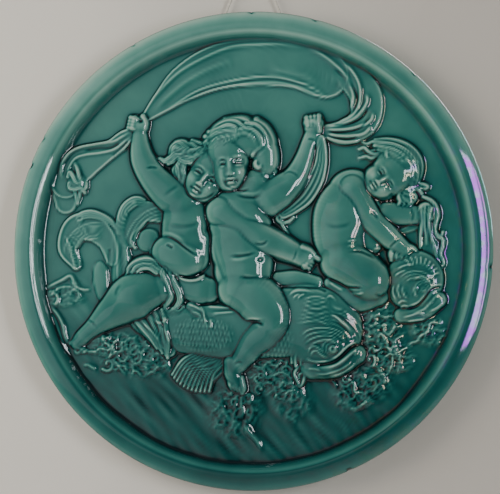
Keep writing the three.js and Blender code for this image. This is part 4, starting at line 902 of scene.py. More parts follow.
def middle_putto():
    """Trunk, raised arm and leg, then the arm across, the head, its hair and the fist on top."""
    c = Clay()
    # chest, flanks, belly
    c.roll([(-12, 28, 3.5, 24), (-8, 14, 4, 25), (-8, 0, 3.5, 25)], 0.42)
    c.roll([(-6, -2, 3.5, 24), (-7, -18, 3.5, 23)], 0.45)
    c.roll([(0, 45, 4, 13), (4, 55, 4, 12)], 0.5)
    c.swell((2, 30), (9, 7), 1.0)
    c.swell((-4, -14), (15, 10), 1.2)
    c.stroke([(-19, -5.5), (-10, -5.8), (-2, -4.8), (6, -2.5)], 1.3, -1.4)
    c.stroke([(-18, -8), (-10, -9), (-1, -7.5)], 1.6, 0.7)
    c.swell((8, -9), (1.7, 1.3), -1.8)
    c.stroke([(-9, -22), (-3, -24), (5, -24.5), (13, -27), (20, -30.5)], 1.1, -2.0, 0.25)
    c.stroke([(-32, 10), (-30, -4), (-26, -16), (-21, -26), (-13, -32)], 1.6, -0.7)
    # raised arm: shoulder, upper arm, elbow, forearm, wrist
    c.roll([(14, 42, 4, 14), (24, 49, 3.5, 13.5), (34, 57, 3.2, 10.5), (40, 66, 3, 8.6), (44.5, 77, 3, 6.9),
            (48, 88, 3, 6), (51, 95, 3, 6.2)], 0.55)
    c.swell((31, 58), (7, 6), 1.0, 30)
    c.stroke([(25, 61), (31, 64.5), (37, 62.5), (39.5, 58)], 0.9, -0.7)
    c.stroke([(46.5, 91.5), (50, 91.8), (54, 90)], 0.8, -0.9)
    # leg: hip, thigh, knee, calf, ankle
    c.roll([(-11, -33, 4.5, 16.5), (4, -41, 5.5, 19.5), (16, -56, 6, 18), (12, -68, 5.2, 14.8),
            (1, -78, 4.2, 12.4),
            (-7, -89, 3.5, 9.2), (-13, -98, 3, 6.6)], 0.62)
    c.stroke([(0, -61.5), (6, -61), (11, -63.5)], 1.2, -1.6, 0.3)
    c.swell((19, -66), (6, 6), 0.8)
    c.stroke([(-15, -96), (-11, -93.5), (-6, -94.5)], 0.9, -0.9)
    # foot and toes
    c.roll([(-17, -94, 2.6, 6.2), (-15.5, -103, 2.8, 6.8), (-12.5, -111, 2.2, 5.6)], 0.6, 1)
    fingers(c, [(-18.5 + 2.6 * k, -109.5 - 0.8 * k) for k in range(4)],
            [(-16.6 + 2.5 * k, -115.5 - 1.1 * k) for k in range(4)], 1.45, 3.4, 1.0)
    c.roll([(-9, -107, 3.6, 2.4), (-7, -115, 3.4, 2.3), (-7.6, -119, 2.4, 1.9)], 0.8, 0.3)
    # arm across: shoulder, upper arm, elbow, forearm, wrist, hand
    arm = Clay()
    arm.roll([(-24, 31, 5.5, 13.5), (-9, 21, 7, 12.2), (8, 9, 8, 12), (23, 3, 7, 9.6), (36, -3, 5.5, 7.8),
              (44, -7, 5, 7.2)], 0.6, 1)
    arm.stroke([(2, 5.5), (7, 3.8), (11, 4.4), (15, 7.5)], 1.0, -1.3, 0.3)
    arm.stroke([(33, -11), (36.5, -6), (38, 1)], 0.8, -0.6)
    arm.ball((45, -6.5, 5), (7.5, 7, 4.4), -25, 1)
    fingers(arm, [(44.5 - 0.4 * k, -8.5 - 2.2 * k) for k in range(3)],
            [(50.5 - 1.6 * k, -10.5 - 2.3 * k) for k in range(3)], 1.35, 7.4, 2.2)
    arm.roll([(47, -3.5, 7, 2.3), (53, -6.4, 6, 2.0), (59.5, -9, 4.4, 1.7)], 0.8, 0.3)
    arm.roll([(42, 0.5, 7, 2.4), (48, -1.5, 7, 2.1), (52, -4.2, 6.4, 1.7)], 0.8, 0.3)
    c.lay(arm, bite=1.5, width=1.0)
    # neck
    c.stroke([(-14, 46), (-6, 43.5), (3, 43), (10, 46)], 1.2, -1.2)
    c.stroke([(-12, 49), (-3, 46.5), (5, 47), (10, 51)], 1.4, 0.6)
    # head, ear
    head = Clay()
    face(head, (-5.5, 72.5), 22, 5, -35, 6.0)
    head.ball((6, 71, 9), (3.4, 4.6, 2.2), 10, 0.4)
    head.swell((6, 71.5), (1.5, 2.4), -1.8, 10)
    c.lay(head, bite=1.6)
    c.stroke([(-24, 60), (-20, 53), (-14, 50), (-7, 48.5), (0, 50.5)], 0.9, -1.4, 0.2)
    # hair: a mass, then its locks from the parting outwards
    hair = Clay()
    hair.ball((-9, 92, 5.5), (27, 15.5, 8.5), -6, 2)
    hair.ball((11, 80, 5), (10.5, 19, 6), 8, 2)
    for stations in (
            # roll over the forehead, left of the parting
            [(-13, 92.5, 12.6, 2.6), (-20, 89.5, 12.4, 3), (-26, 86.5, 11, 3.2), (-31, 83, 9, 3),
             (-36.5, 84, 6.6, 2.6), (-38.5, 89, 5, 2.2)],
            [(-13, 94.5, 13, 2.6), (-20, 93.5, 12.6, 2.8), (-28, 91.5, 10.6, 2.8), (-33, 87.5, 8.8, 2.6),
             (-37, 90.5, 6, 2)],
            [(-12, 97, 13, 2.4), (-20, 98, 12, 2.6), (-28, 96.5, 9.8, 2.6), (-34, 93.5, 7, 2.4),
             (-38, 94.5, 4.6, 1.8)],
            # crown, swept back from the parting
            [(-11.5, 96, 13, 2.4), (-13.5, 101, 12.4, 2.6), (-20, 102.5, 11, 2.6), (-28, 99.5, 8.8, 2.4),
             (-35, 98, 5, 1.8)],
            [(-6, 101, 12.4, 2.4), (-12, 105.5, 10, 2.6), (-20, 106, 8, 2.6), (-28, 103, 6, 2.2),
             (-34, 99, 4, 1.6)],
            [(0, 103, 11, 2.4), (-6, 107.5, 8.2, 2.4), (-14, 108.5, 6.6, 2.2), (-22, 108.5, 4.4, 1.8)],
            # right of the parting: an arch, then waves down the side
            [(-14, 92, 13, 2), (-10, 95.5, 13.4, 2.2), (-4, 96, 13.2, 2.2), (1, 93.5, 12.6, 2.2),
             (3, 89, 11.8, 2),
             (5, 85, 11, 1.7)],
            [(-9, 99, 13, 2.3), (-2, 100, 12.4, 2.4), (4, 97, 12, 2.4), (8, 92, 11.4, 2.4),
             (8.5, 86.5, 10.6, 2.2),
             (4, 82.5, 10.6, 1.8), (1.5, 79, 10.4, 1.5)],
            [(-4, 104, 11, 2.2), (4, 103, 10.4, 2.4), (10, 97.5, 9.6, 2.4), (13, 90.5, 9, 2.4),
             (12.5, 84, 9.2, 2.2),
             (8, 79, 9.6, 1.9)],
            [(4, 107, 7.6, 2), (11, 102, 7, 2.2), (15.5, 95, 6.4, 2.2), (17.5, 87.5, 6, 2.2),
             (16, 80.5, 6.6, 2),
             (12, 76, 7.6, 1.8)],
            [(-12, 91, 12.4, 1.6), (-13, 87.5, 12, 1.5), (-11.5, 84, 11.4, 1.2)],
            # ringlets down to the neck
            [(13, 79, 8, 2.2), (17.5, 76, 6.4, 2.2), (19, 71, 5, 2), (16.5, 67, 5.4, 2),
             (12.5, 68.5, 6.6, 1.8),
             (13, 72, 7, 1.4)],
            [(10, 73, 8.4, 1.9), (12, 68, 7.6, 2), (10, 63, 6.8, 1.9), (7.5, 59, 6.4, 1.6)],
            [(17, 70, 5.2, 1.8), (19, 64.5, 4.6, 1.8), (16, 60, 4.8, 1.8), (13, 63, 5.8, 1.5)],
            [(10.5, 62, 6.8, 1.8), (12.5, 57.5, 6.2, 1.8), (10, 53.5, 5.8, 1.6)],
            [(16, 61, 5, 1.8), (17.5, 56, 4.8, 1.8), (15, 52, 5, 1.5)],
            [(20, 60.5, 4, 1.5), (20.5, 56, 4.2, 1.6), (18, 52, 4.6, 1.3)]):
        lock(hair, stations)
    c.lay(hair, bite=0.9, width=0.8)
    # fist with the gathered cloth
    c.ball((52.5, 103, 3), (7.4, 8.4, 4.2), -30, 1)
    fingers(c, [(47.6 + 2.7 * k, 103.5 - 0.4 * k) for k in range(4)],
            [(46.4 + 3.2 * k, 109.5 + 0.5 * k) for k in range(4)], 1.6, 6.4, 1.6)
    c.roll([(56.5, 99, 5, 2.4), (55, 104.5, 6.4, 2.3), (51, 106.5, 6.6, 2)], 0.8, 0.3)
    return c


# ---- Plaque: the right putto --------------------------------------------------------------------------
# Reclines on the near dolphin's neck with his chin on his shoulder, one hand hanging and the other laid
# on the far dolphin under a gathered cloth. Limbs first, then head, hair and cloth.


def right_putto():
    """Trunk, bent legs and far arm, then the near arm, the head, its hair and the cloth on top."""
    c = Clay()
    # chest, belly, hip
    c.roll([(98, 40, 1.5, 10), (96, 20, 1.5, 12), (98, 5, 1.5, 10)], 0.4)
    c.roll([(84, 46, 2.5, 20), (76, 30, 3, 23), (73, 12, 3, 21), (76, -4, 3, 19)], 0.42)
    c.swell((70, 34), (9, 8), 1.1)
    c.swell((76, 6), (12, 9), 0.9)
    c.stroke([(60, 22), (68, 18.5), (77, 19), (85, 23)], 2.0, -0.7)
    wrinkles(c, [[(79, 1), (83, 3), (87, 3.5)], [(80, 5.5), (84, 7), (88, 6.8)]], 0.9, 0.8)
    # lower leg behind, thigh, knee
    c.roll([(104, -37, 2, 10), (88, -42, 2.5, 9.5), (74, -33, 2.5, 6.5), (65, -28, 2, 4.5)], 0.55)
    c.roll([(76, -9, 3, 18.5), (88, -17, 4.5, 17.5), (98, -26, 4.5, 17)], 0.6)
    c.stroke([(80, -2.5), (90, -2.5), (98, -5.5), (104, -9)], 1.1, -1.6)
    wrinkles(c, [[(101, 0), (106, 0.6), (110, 0)], [(103, -6), (107, -5), (110, -5)]], 0.9, 0.9)
    c.stroke([(63, -24), (72, -27.6), (80, -31.5), (93, -32.5)], 1.0, -2.0, 0.15)
    wrinkles(c, [[(82, -36), (88, -37.4), (94, -36)], [(64, -27), (70, -31), (77, -35)]], 1.0, 0.9)
    c.swell((106, -28), (7, 7), 0.8)
    c.stroke([(101, -37), (107, -39), (112, -36)], 1.0, -1.0)
    # far arm, along the dolphin
    c.roll([(112, 30, 1.8, 9), (126, 29, 1.6, 8.8), (138, 28, 1.4, 7.5)], 0.55)
    c.stroke([(131, 36), (133.5, 31), (134, 26), (132.5, 21.5)], 1.0, -0.8)
    # near arm, and the hand that hangs from its wrist
    arm = Clay()
    arm.roll([(84, 50, 4.5, 12.5), (91, 38, 5.5, 10.5), (99, 25, 5.5, 9.8), (110, 14, 4.5, 9.2),
              (121, 4, 3.5, 7.2),
              (127, -1, 3, 6.5)], 0.6, 1)
    arm.stroke([(98, 31.5), (102, 28.5), (106, 24)], 1.0, -1.2, 0.3)
    arm.stroke([(114, 0.5), (118.5, 5), (123.5, 9.5)], 0.9, -0.9, 0.2)
    fingers(arm, [(116.5 + 4.0 * k, -0.5 - 1.2 * k) for k in range(4)],
            [(116.5 + 4.1 * k, -9.0 - 1.1 * k) for k in range(4)], 1.95, 4.2, 1.4)
    arm.roll([(129, 2, 4.2, 2.4), (134, 0, 3.6, 2.1), (137.5, -3, 2.4, 1.8)], 0.8, 0.4)
    c.lay(arm, bite=1.3, width=1.0)
    # fold of the neck
    lock(c, [(102.4, 42, 4, 1.0), (105.6, 37, 4.2, 1.2), (108.4, 32, 4, 1.2), (105, 30.6, 4, 1.1),
             (101.8, 35, 4.2, 1.0),
             (100, 41, 4, 0.9)], 1)
    head = Clay()
    head.ball((122, 68, 2.5), (19, 20, 8), 0, 1)
    face(head, (110, 59.5), 17, -58, 6, 4.4)
    c.lay(head, bite=1.2)
    c.stroke([(100, 43.5), (107, 42), (113, 43), (118, 47)], 1.0, -1.4, 0.2)
    # hair: laid back over the crown in parallel locks, loose curls at the brow, and a bow behind
    hair = Clay()
    for stations in (
            [(103, 91, 1.4, 1.4), (112, 91, 2.2, 2.0), (121, 89.3, 3.0, 2.4), (130, 85.3, 3.2, 2.6),
             (137, 78.7, 3, 2.6),
             (140.5, 70.5, 2.6, 2.4), (140, 62, 2.4, 2.1), (138, 56, 2.2, 1.7)],
            [(101.5, 89.5, 1.6, 1.4), (109, 88, 3.8, 2.2), (118, 86, 5.2, 2.7), (126.5, 81.8, 6, 2.9),
             (133.2, 75, 6, 2.9),
             (136.8, 67, 5.4, 2.7), (137, 59, 4.4, 2.2), (135.5, 52.5, 3.6, 1.7)],
            [(103, 86.5, 2.6, 1.5), (111, 84.4, 5.4, 2.2), (119, 81.6, 7.2, 2.6), (126, 76.8, 7.8, 2.7),
             (131, 69.8, 7.6, 2.6),
             (133.4, 62, 6.6, 2.2), (133.8, 54, 5, 1.7)],
            [(106, 82.6, 3.8, 1.4), (113, 80.5, 6.8, 2.0), (120, 77, 8.2, 2.3), (125.8, 72, 8.6, 2.3),
             (129.3, 65, 8, 2.1),
             (131, 57.5, 6.6, 1.7), (133, 51, 5, 1.3)],
            [(112, 78, 7, 1.2), (118, 75.3, 8.6, 1.5), (123, 71, 8.8, 1.7), (126.4, 65, 8.4, 1.6),
             (128, 58.5, 7.2, 1.4),
             (131, 53, 5.8, 1.1)],
            [(112.5, 84.5, 6, 1.2), (112.4, 79.5, 8, 1.3), (113, 76, 8.8, 1.3), (115.8, 75, 8.6, 1.0)],
            [(109.5, 80, 4.4, 1.3), (102, 79.3, 2.4, 1.4), (97.6, 81.6, 1.6, 1.4), (94, 84.8, 1.2, 1.4),
             (89.5, 83.6, 0.8, 1.1)],
            [(109, 77.8, 4.8, 1.2), (104.5, 77.3, 2.8, 1.3), (100, 76, 1.8, 1.3), (95.5, 77.6, 1.2, 1.2),
             (89.5, 76, 0.8, 0.9)],
            [(112, 79.5, 5, 1.1), (108.5, 82, 3.2, 1.3), (105, 83, 2.2, 1.2), (100, 82, 1.4, 1.0)],
            [(101, 90, 1.4, 1.0), (96, 88, 1, 1.1), (92, 90, 0.8, 0.9)],
            [(139, 57, 3, 1.2), (139.6, 54.4, 3, 1.4), (143, 53.4, 2.6, 1.5), (146, 52, 2, 1.5),
             (144, 50.4, 2.2, 1.3),
             (139, 51.2, 3, 1.2)],
            [(136, 50.2, 3.6, 1.5), (139.4, 48.8, 3.2, 1.6), (141.4, 46.2, 2.2, 1.5)],
            [(136.6, 51, 3.8, 1.4), (134.5, 47.4, 3.8, 1.5), (136, 43, 3.2, 1.5), (133, 37.4, 2.6, 1.2)],
            [(127, 55.5, 6.4, 1.3), (124.5, 49.4, 6.4, 1.5), (122.6, 44.6, 6, 1.5), (123.6, 39.6, 5.4, 1.5),
             (121.6, 35.6, 4.4, 1.2)],
            [(129.6, 53.4, 6, 1.3), (127.5, 48, 6, 1.5), (126, 43.4, 5.6, 1.5), (127, 38.6, 5, 1.4),
             (125.4, 34.4, 4.2, 1.1)],
            [(131.6, 51, 5.4, 1.3), (129.8, 46, 5.4, 1.5), (129, 41.5, 5, 1.4), (130.4, 37.4, 4.6, 1.3),
             (128.8, 33.8, 3.8, 1.1)],
            [(133.4, 48.4, 4.8, 1.2), (132, 43, 4.8, 1.4), (132.8, 38.4, 4.2, 1.3), (131.8, 34.6, 3.4, 1.0)]):
        lock(hair, stations)
    c.lay(hair, bite=0.8, width=0.8)
    # hand under the gathered cloth, whose threads hang down behind the far dolphin's brow
    cloth = Clay()
    cloth.ball((146, 29, 1.6), (7.8, 9.5, 3.6), 0, 0.6)
    cloth.cloth([(137, 20, 0.4, 3), (131, 17, 0.3, 2.4), (124, 14.5, 0.3, 1.6)], [], 0.9)
    cloth.cloth([(143, 20, 0.8, 5), (146, 10, 0.4, 6.5), (149, 0, 0.3, 6.5), (153, -8, 0.3, 4.5)], [], 1.0)
    for stations in (
            [(139.5, 22, 2.4, 1.3), (138.8, 29, 3.6, 1.6), (141, 34.6, 4.4, 1.7), (145.4, 36.6, 4.4, 1.6),
             (149, 34.5, 4, 1.3)],
            [(141.4, 35, 5, 1.1), (141.2, 28, 5.4, 1.2), (141.4, 20, 4.4, 1.3), (140.4, 10, 2, 1.2),
             (140, 1, 1.2, 1.1)],
            [(144, 35.4, 5.2, 1.1), (143.6, 27, 5.8, 1.3), (143.8, 18, 4.6, 1.3), (145, 11, 2.2, 1.3),
             (145.6, 4, 1.3, 1.1)],
            [(147, 34, 5, 1.2), (146.6, 26, 5.6, 1.4), (147.4, 19, 4.4, 1.5), (149, 11, 2.4, 1.5),
             (151.6, 3, 1.5, 1.4),
             (153.6, -7, 1.2, 1.3), (158, -15, 0.9, 1.0)],
            [(142.6, 43.6, 1.6, 1.4), (149, 40, 2.4, 1.8), (152.8, 35, 2.8, 2), (154.2, 28, 2.8, 2),
             (152.4, 21, 2.6, 2),
             (152.2, 15, 2, 1.8), (155, 10.5, 1.7, 1.8), (158.6, 8, 1.5, 1.6), (158.6, 2, 1.3, 1.6),
             (157, -4, 1.1, 1.5),
             (159.4, -11, 1, 1.4), (157.4, -16, 0.8, 1.0)],
            [(149.5, 33.5, 5, 1.5), (148, 29.5, 5.4, 1.6), (149, 25, 4.8, 1.4)],
            [(158.6, 14, 1.2, 1.2), (157, 10.5, 1.6, 1.3), (153.8, 12.4, 1.8, 1.2)]):
        lock(cloth, stations, 2)
    c.lay(cloth, bite=1.0, width=0.9)
    return c

# ---- Plaque: casting and glaze ------------------------------------------------------------------------
# Pressed in red earthenware 10 mm thick with a foot ring behind, dipped in a translucent green glaze.
# The glaze runs off the high places and pools in the hollows, where it is dark.

RADIUS, FIELD_RADIUS, RIM_INNER = 200.0, 174.0, 184.4
FIELD_DEPTH, RIM_DEPTH, BACK_DEPTH = 18.0, 28.5, 8.0
FOOT_OUTER, FOOT_INNER = 146.0, 137.0
CENTRE_BELOW_NAIL = 245.0
HIGHEST, SPARE = 15.0, 2.4                      # clay above HIGHEST is rubbed down to within SPARE of it
SOFTENED = 0.36                                 # by the casting


def blur(h, width):
    """Gaussian blur of a grid: each value becomes the mean of those round it, weighted by
    exp(-d^2 / (2 width^2)), in one direction and then in the other."""
    reach = max(1, round(2.6 * width / GRID))
    k = np.exp(-0.5 * (np.arange(-reach, reach + 1) * GRID / width) ** 2)
    k /= k.sum()
    for _ in range(2):
        edge = np.pad(h, ((reach, reach), (0, 0)), mode="edge")
        h = sum(weight * edge[n:n + len(h)] for n, weight in enumerate(k)).T
    return h


def cove_height(r):
    """The ground curves up to the rim: (3 f^2 - 2 f^3) of its rise at share f of the way."""
    f = np.clip((r - FIELD_RADIUS) / (RIM_INNER - FIELD_RADIUS), 0, 1)
    return (RIM_DEPTH - 1 - FIELD_DEPTH) * f * f * (3 - 2 * f)


model = sea()
for form in (billowing_cloth, near_dolphin, far_dolphin, left_putto, right_putto, middle_putto):
    model.lay(form(), bite=1.0)
model.h = np.maximum(model.h, cove_height(np.hypot(U, V)))

clay = blur(model.h, SOFTENED)
clay = np.where(clay > HIGHEST, HIGHEST + SPARE * (1 - np.exp(-(clay - HIGHEST) / SPARE)), clay)
pool = blur(clay, 1.1) - clay                   # above 0 in grooves, below 0 on ridges
broad = blur(clay, 3.5) - clay
surface = clay + 0.55 * np.maximum(pool, 0)     # the glaze levels the grooves a little
# It is thick in hollows, over the sea and towards the bottom, and there it has run down in streaks.
thick = 1.7 * pool + 0.26 * broad + 0.45 * np.clip((-V - 50) / 70, 0, 1) - 0.20 * np.clip(V / 180, -1, 1)
streaks = 1.2 * ripple(13, 11.0, -50, 13)
thick += patch((0, -170), (185, 80), 0, 0.5) * patch((0, 0), (170, 170), 0, 0.05) * 0.16 * streaks


def sample(grid, u, v):
    """Value of a grid between its points, weighted by nearness to the four round it."""
    x = np.clip((u + HALF) / GRID, 0, len(grid_line) - 1.001)
    y = np.clip((v + HALF) / GRID, 0, len(grid_line) - 1.001)
    i, j = x.astype(int), y.astype(int)
    x, y = x - i, y - j
    return ((grid[j, i] * (1 - x) + grid[j, i + 1] * x) * (1 - y)
            + (grid[j + 1, i] * (1 - x) + grid[j + 1, i + 1] * x) * y)


def to_disc(a, b):
    """A square's rings become circles: the larger of |a|, |b| is the radius, and the other over it is
    an angle of up to 45 degrees from that side's middle."""
    wide = np.abs(a) > np.abs(b)
    ring = np.where(wide, a, b)
    safe = np.where(ring == 0, 1, ring)
    angle = np.pi / 4 * np.where(wide, b / safe, 2 - a / safe)
    angle = np.where(ring == 0, 0, angle)
    return RIM_INNER * ring * np.cos(angle), RIM_INNER * ring * np.sin(angle)


# Mesh points stand closer where there is more to show. Each one moves again and again towards the mean
# of its neighbours, weighted by the detail half way to them; first on a coarse net, then on finer ones.
slope_u, slope_v = np.gradient(surface, GRID)
bend = np.abs(blur(surface, 0.8) - blur(surface, 1.8))
detail = 0.10 + np.minimum(blur(bend, 1.5) * 4.0, 1.6) + np.minimum(0.10 * np.hypot(slope_u, slope_v), 0.3)
detail = blur(np.minimum(detail, 1.5), 2.5) + 0.10 * patch((0, -150), (175, 60))


def settle(u, v, rounds):
    """Each inner point goes 0.8 of the way to the sum of weight x neighbour over the sum of weights."""
    for _ in range(rounds):
        sums = [0.0, 0.0, 0.0]
        for shift, axis in ((1, 0), (-1, 0), (1, 1), (-1, 1)):
            nu, nv = np.roll(u, shift, axis), np.roll(v, shift, axis)
            weight = sample(detail, (u + nu) / 2, (v + nv) / 2)
            for k, value in enumerate((weight, weight * nu, weight * nv)):
                sums[k] = sums[k] + value
        inner = (slice(1, -1), slice(1, -1))
        u[inner] = (sums[1] / sums[0])[inner] * 0.8 + u[inner] * 0.2
        v[inner] = (sums[2] / sums[0])[inner] * 0.8 + v[inner] * 0.2
    return u, v


def finer(x):
    """Twice as many steps each way, with each new point half way between two old ones."""
    rows = np.empty((2 * len(x) - 1, x.shape[1]))
    rows[::2], rows[1::2] = x, (x[:-1] + x[1:]) / 2
    both = np.empty((rows.shape[0], 2 * x.shape[1] - 1))
    both[:, ::2], both[:, 1::2] = rows, (rows[:, :-1] + rows[:, 1:]) / 2
    return both


NET = 36                                        # steps across the coarsest net
side_steps = np.linspace(-1, 1, NET + 1)
net_u, net_v = to_disc(*np.meshgrid(side_steps, side_steps))
for level, rounds in enumerate((300, 200, 120, 60)):
    if level:
        net_u, net_v = finer(net_u), finer(net_v)
        for line in ((0, slice(None)), (-1, slice(None)), (slice(None), 0), (slice(None), -1)):
            grow = RIM_INNER / np.hypot(net_u[line], net_v[line])
            net_u[line], net_v[line] = net_u[line] * grow, net_v[line] * grow
    net_u, net_v = settle(net_u, net_v, rounds)

net = len(net_u)
index = np.arange(net * net).reshape(net, net)
quads = np.stack([index[:-1, :-1], index[:-1, 1:], index[1:, 1:], index[1:, :-1]], -1).reshape(-1, 4)
border = np.r_[index[0, :-1], index[:-1, -1], index[-1, :0:-1], index[:0:-1, 0]]
flat = np.column_stack([net_u.ravel(), net_v.ravel()])
points = [np.column_stack([flat[:, 0], -(FIELD_DEPTH + sample(surface, *flat.T)), flat[:, 1]])]

# Outside the relief come rings (radius, depth): over the rim, round the side, and over the foot ring to
# the middle of the back. Twice on the way, two steps round a ring become one.
PROFILE = [(185.3, 28.1), (186.6, 28.7), (188.6, 28.45), (190.8, 27.95), (193, 27.38), (195, 26.84),
           (196.8, 26.3),
           (198.2, 25.5), (199.1, 24.6), (199.7, 23.2), (199.9, 21.8), (199.5, 20.4), (196, 16.5), (192, 14),
           (186, 12), (178, 10.4), (166, 9), (150, BACK_DEPTH), (147.6, 7.6), (146.6, 6.4), (146.2, 4),
           (FOOT_OUTER, 1.5), (145.7, 0.5), (145, 0), (138, 0), (137.3, 0.5), (FOOT_INNER, 1.5), (136.6, 4),
           (136.2, 6.4), (135.2, 7.6), (133, BACK_DEPTH), (110, BACK_DEPTH), (75, BACK_DEPTH),
           (40, BACK_DEPTH)]
HALVED = (0, 12)                                # rings that have half as many points as the one before
EDGE_RINGS = 12                                 # those over the rim and round the side
CHIPS = ((90, 1.0), (74.5, 0.7), (159, 1.4), (-4.3, 1.2), (152, 0.8), (47, 0.7), (-66, 0.9), (120, 0.6))


def chipped(angle):
    """Small flakes off the outer edge: exp(-(arc / 1.8 mm)^2) at each chip's place in degrees."""
    total = 0.0
    for degrees, size in CHIPS:
        arc = RADIUS * ((angle - math.radians(degrees) + np.pi) % (2 * np.pi) - np.pi)
        total = total + size * np.exp(-(arc / 1.8) ** 2)
    return total


start = net * net                               # number of the next point
ring, strips = border, []
for n, (radius, depth) in enumerate(PROFILE):
    count = len(ring) // 2 if n in HALVED else len(ring)
    angle = np.arctan2(-1, -1) + 2 * np.pi * np.arange(count) / count
    flake = 0.7 * chipped(angle) * (n < EDGE_RINGS) * np.clip((radius - 196) / 3, 0, 1)
    out = radius - flake
    points.append(np.column_stack([out * np.cos(angle), -depth + 0.8 * flake, out * np.sin(angle)]))
    outer = start + np.arange(count)
    start += count
    after = np.roll(outer, -1)
    if n in HALVED:
        even, odd, later = ring[::2], ring[1::2], np.roll(ring[::2], -1)
        strips += [np.column_stack(corners) for corners in ((even, outer, odd), (odd, outer, after),
                                                            (odd, after, later))]
    else:
        strips.append(np.column_stack([ring, outer, after, np.roll(ring, -1)]))
    ring = outer
points.append([[0, -BACK_DEPTH, 0]])
strips.append(np.column_stack([np.roll(ring, -1), ring, np.full(len(ring), start)]))
points = np.vstack(points)
points[:, 2] -= CENTRE_BELOW_NAIL
faces = [face for part in (quads, *strips) for face in part.tolist()]
plaque = skin("plaque_glazed", points / 1000, faces)
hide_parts("plaque")
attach(plaque, "root")
# Over the rim the glaze is thinnest at the sharp outer edge; it is paler at the top and darker towards the
# bottom, and painted light makes it paler towards the left.
# In the bare body of a flake it looks dark, as a deep place does.
across, high = points[:, 0], points[:, 2] + CENTRE_BELOW_NAIL
out = np.hypot(across, high)
glaze_depth = 0.12 - 0.85 * np.clip((out - 190) / 9, 0, 1) ** 1.5 - 0.62 * high / RADIUS
# painted light: the rim's colour is paler towards the left, where the light falls
glaze_depth += 0.28 * np.clip(across / RADIUS, -1, 0) + 1.6 * chipped(np.arctan2(high, across)) * (out > 197)
glaze_depth[:net * net] = sample(thick, *flat.T)
attribute = plaque.data.attributes.new("glaze_depth", "FLOAT", "POINT")
attribute.data.foreach_set("value", glaze_depth)


def glaze():
    """Colour by the depth of the glaze, pale where it is thin and nearly black where it is deep, a
    little clouded, under a gloss. Over the rim the colour also carries painted light, paler at the left."""
    sheet = Finish("green_glaze")
    place = sheet.node("ShaderNodeTexCoord", out=3)
    depth = sheet.node("ShaderNodeAttribute", {"attribute_name": "glaze_depth"}, out=2)
    drift = sheet.node("ShaderNodeTexNoise", None, place, Scale=9.0, Detail=3.0)
    cloud = sheet.node("ShaderNodeTexNoise", None, place, Scale=45.0, Detail=4.0)
    tone = depth * 0.42 + (drift - 0.5) * 0.30 + (cloud - 0.5) * 0.16 + 0.51
    colour = sheet.node("ShaderNodeValToRGB", {"ramp": [
        (0.0, (0.30, 0.46, 0.37)), (0.20, (0.13, 0.31, 0.25)), (0.38, (0.048, 0.185, 0.152)),
        (0.54, (0.016, 0.118, 0.102)), (0.72, (0.002, 0.066, 0.061)), (0.88, (0.0005, 0.032, 0.032)),
        (1.0, (0.0003, 0.008, 0.010))]}, tone)
    plain_glaze = sheet.node("ShaderNodeBsdfPrincipled", None, Base_Color=colour, Roughness=0.07,
                             IOR=1.6, Coat_Weight=0.3, Coat_Roughness=0.03)
    # towards the right the glaze carries a lustre, a film a few hundred nanometres thick
    side = sheet.node("ShaderNodeSeparateXYZ", None, place)
    bands = sheet.node("ShaderNodeTexNoise", None, place, Scale=110.0, Detail=2.0)
    lustre = plain_glaze
    for film, low in ((290.0, 0.30), (410.0, 0.42), (530.0, 0.54)):
        shiny = sheet.node("ShaderNodeBsdfPrincipled", None, Base_Color=colour, Roughness=0.07, IOR=1.9,
                           Thin_Film_Thickness=film, Thin_Film_IOR=1.33)
        share = sheet.node("ShaderNodeMapRange", None, side * 4.0 + bands - low, From_Min=0.42, From_Max=0.75)
        lustre = sheet.node("ShaderNodeMixShader", None, share, lustre, shiny)
    return sheet.surface(lustre)


plaque.data.materials.append(glaze())

# ---- Wall, floor and light ----------------------------------------------------------------------------
# A pale grey wall close behind the plaque and a plain pale floor under it. Only the wall's front shows,
# so that the back of the plaque can be looked at.

ROOM, FLOOR_LEVEL, CEILING = 3.0, -1.4, 1.6
WALL_PLACE, FAR_WALL_PLACE = 0.0005, -2.6


def sheet_of(name, corners, material):
    """A flat four-cornered stage piece."""
    piece = skin(name, np.array(corners, float), [[0, 1, 2, 3]])
    piece.data.materials.append(material)
    return piece


def wall_paint_and_painted_light():
    """Warm pale paint, with painted light that makes it lighter at the left and darker to the right, and
    nothing at all from behind.
    """
    sheet = Finish("wall_paint_and_painted_light")
    place = sheet.node("ShaderNodeTexCoord", out=3)
    mottle = sheet.node("ShaderNodeTexNoise", None, place, Scale=14.0, Detail=3.0)
    across = sheet.node("ShaderNodeSeparateXYZ", None, place)
    # painted light: the colour falls from light at the left to dark at the right
    colour = sheet.node("ShaderNodeValToRGB", {"ramp": [(0.0, (0.74, 0.69, 0.61)),
                                                        (0.35, (0.70, 0.655, 0.585)),
                                                        (0.65, (0.50, 0.455, 0.40)),
                                                        (1.0, (0.44, 0.40, 0.35))]},
                        across + 0.5 + (mottle - 0.5) * 0.06)
    paint = sheet.node("ShaderNodeBsdfPrincipled", None, Base_Color=colour, Roughness=0.9)
    behind = sheet.node("ShaderNodeNewGeometry", out=6)
    clear = sheet.node("ShaderNodeBsdfTransparent")
    return sheet.surface(sheet.node("ShaderNodeMixShader", None, behind, paint, clear))


wall = sheet_of("wall", [(-ROOM, WALL_PLACE, FLOOR_LEVEL), (ROOM, WALL_PLACE, FLOOR_LEVEL),
                         (ROOM, WALL_PLACE, CEILING), (-ROOM, WALL_PLACE, CEILING)], wall_paint_and_painted_light())
wall.visible_shadow = wall.visible_diffuse = wall.visible_glossy = False


def floor_paint():
    """Plain pale grey paint."""
    sheet = Finish("floor_paint")
    return sheet.surface(sheet.node("ShaderNodeBsdfPrincipled", None, Base_Color=(0.55, 0.54, 0.52, 1),
                                    Roughness=0.9))


sheet_of("floor", [(-ROOM, -ROOM, FLOOR_LEVEL), (ROOM, -ROOM, FLOOR_LEVEL), (ROOM, ROOM, FLOOR_LEVEL),
                   (-ROOM, ROOM, FLOOR_LEVEL)], floor_paint())


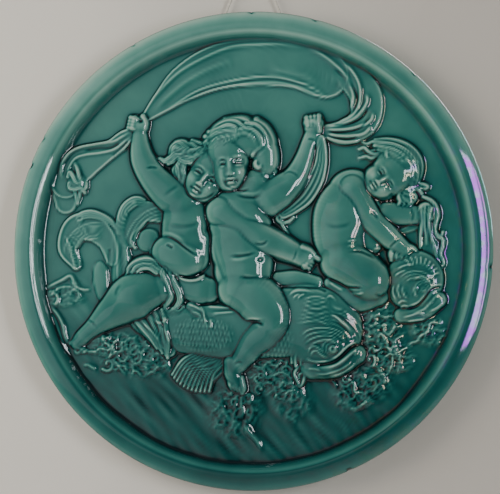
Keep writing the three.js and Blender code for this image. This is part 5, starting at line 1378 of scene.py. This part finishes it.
def lamp(name, at, towards, size, power, colour=(1, 1, 1)):
    """A rectangular soft light, size (wide, high) in metres."""
    light = bpy.data.lights.new(name, "AREA")
    light.shape, light.size, light.size_y = "RECTANGLE", size[0], size[1]
    light.energy, light.color = power, colour
    stand = bpy.data.objects.new(name, light)
    bpy.context.collection.objects.link(stand)
    stand.location = at
    stand.rotation_mode = "QUATERNION"
    stand.rotation_quaternion = (Vector(towards) - Vector(at)).to_track_quat("-Z", "Y")
    return stand


soft = lamp("soft_left", (-1.35, -0.95, 0.20), CENTRE, (1.2, 1.2), 27, (1.0, 0.97, 0.92))
soft.visible_glossy = False                     # it stands for the light of the whole room
lamp("behind", (1.0, 1.7, 0.5), CENTRE, (1.2, 1.2), 26)
for n, x in enumerate((1.30, 1.60)):
    lamp(f"window_pane_{n}", (x, -1.85 + 0.2 * n, -0.15), CENTRE, (0.22, 1.3), 13, (0.93, 0.97, 1.0))


def far_wall():
    """A glow that falls off from the left to the right."""
    sheet = Finish("far_wall_glow")
    place = sheet.node("ShaderNodeTexCoord", out=3)
    across = sheet.node("ShaderNodeSeparateXYZ", None, place)
    light = sheet.node("ShaderNodeValToRGB", {"ramp": [(0.0, (0.66, 0.66, 0.64)), (0.36, (0.42, 0.43, 0.42)),
                                                       (0.56, (0.06, 0.07, 0.07)),
                                                       (1.0, (0.03, 0.03, 0.03))]},
                       across / 3 + 0.5)
    return sheet.surface(sheet.node("ShaderNodeEmission", None, light))


# The room behind the onlooker, bright on the left, which the glaze reflects.
sheet_of("far_wall", [(-ROOM, FAR_WALL_PLACE, FLOOR_LEVEL), (-ROOM, FAR_WALL_PLACE, CEILING),
                      (ROOM, FAR_WALL_PLACE, CEILING), (ROOM, FAR_WALL_PLACE, FLOOR_LEVEL)], far_wall())
world = bpy.data.worlds.new("room")
world.use_nodes = True
sky = world.node_tree.nodes["Background"].inputs
sky["Color"].default_value = (0.75, 0.76, 0.78, 1)
sky["Strength"].default_value = 0.15
bpy.context.scene.world = world
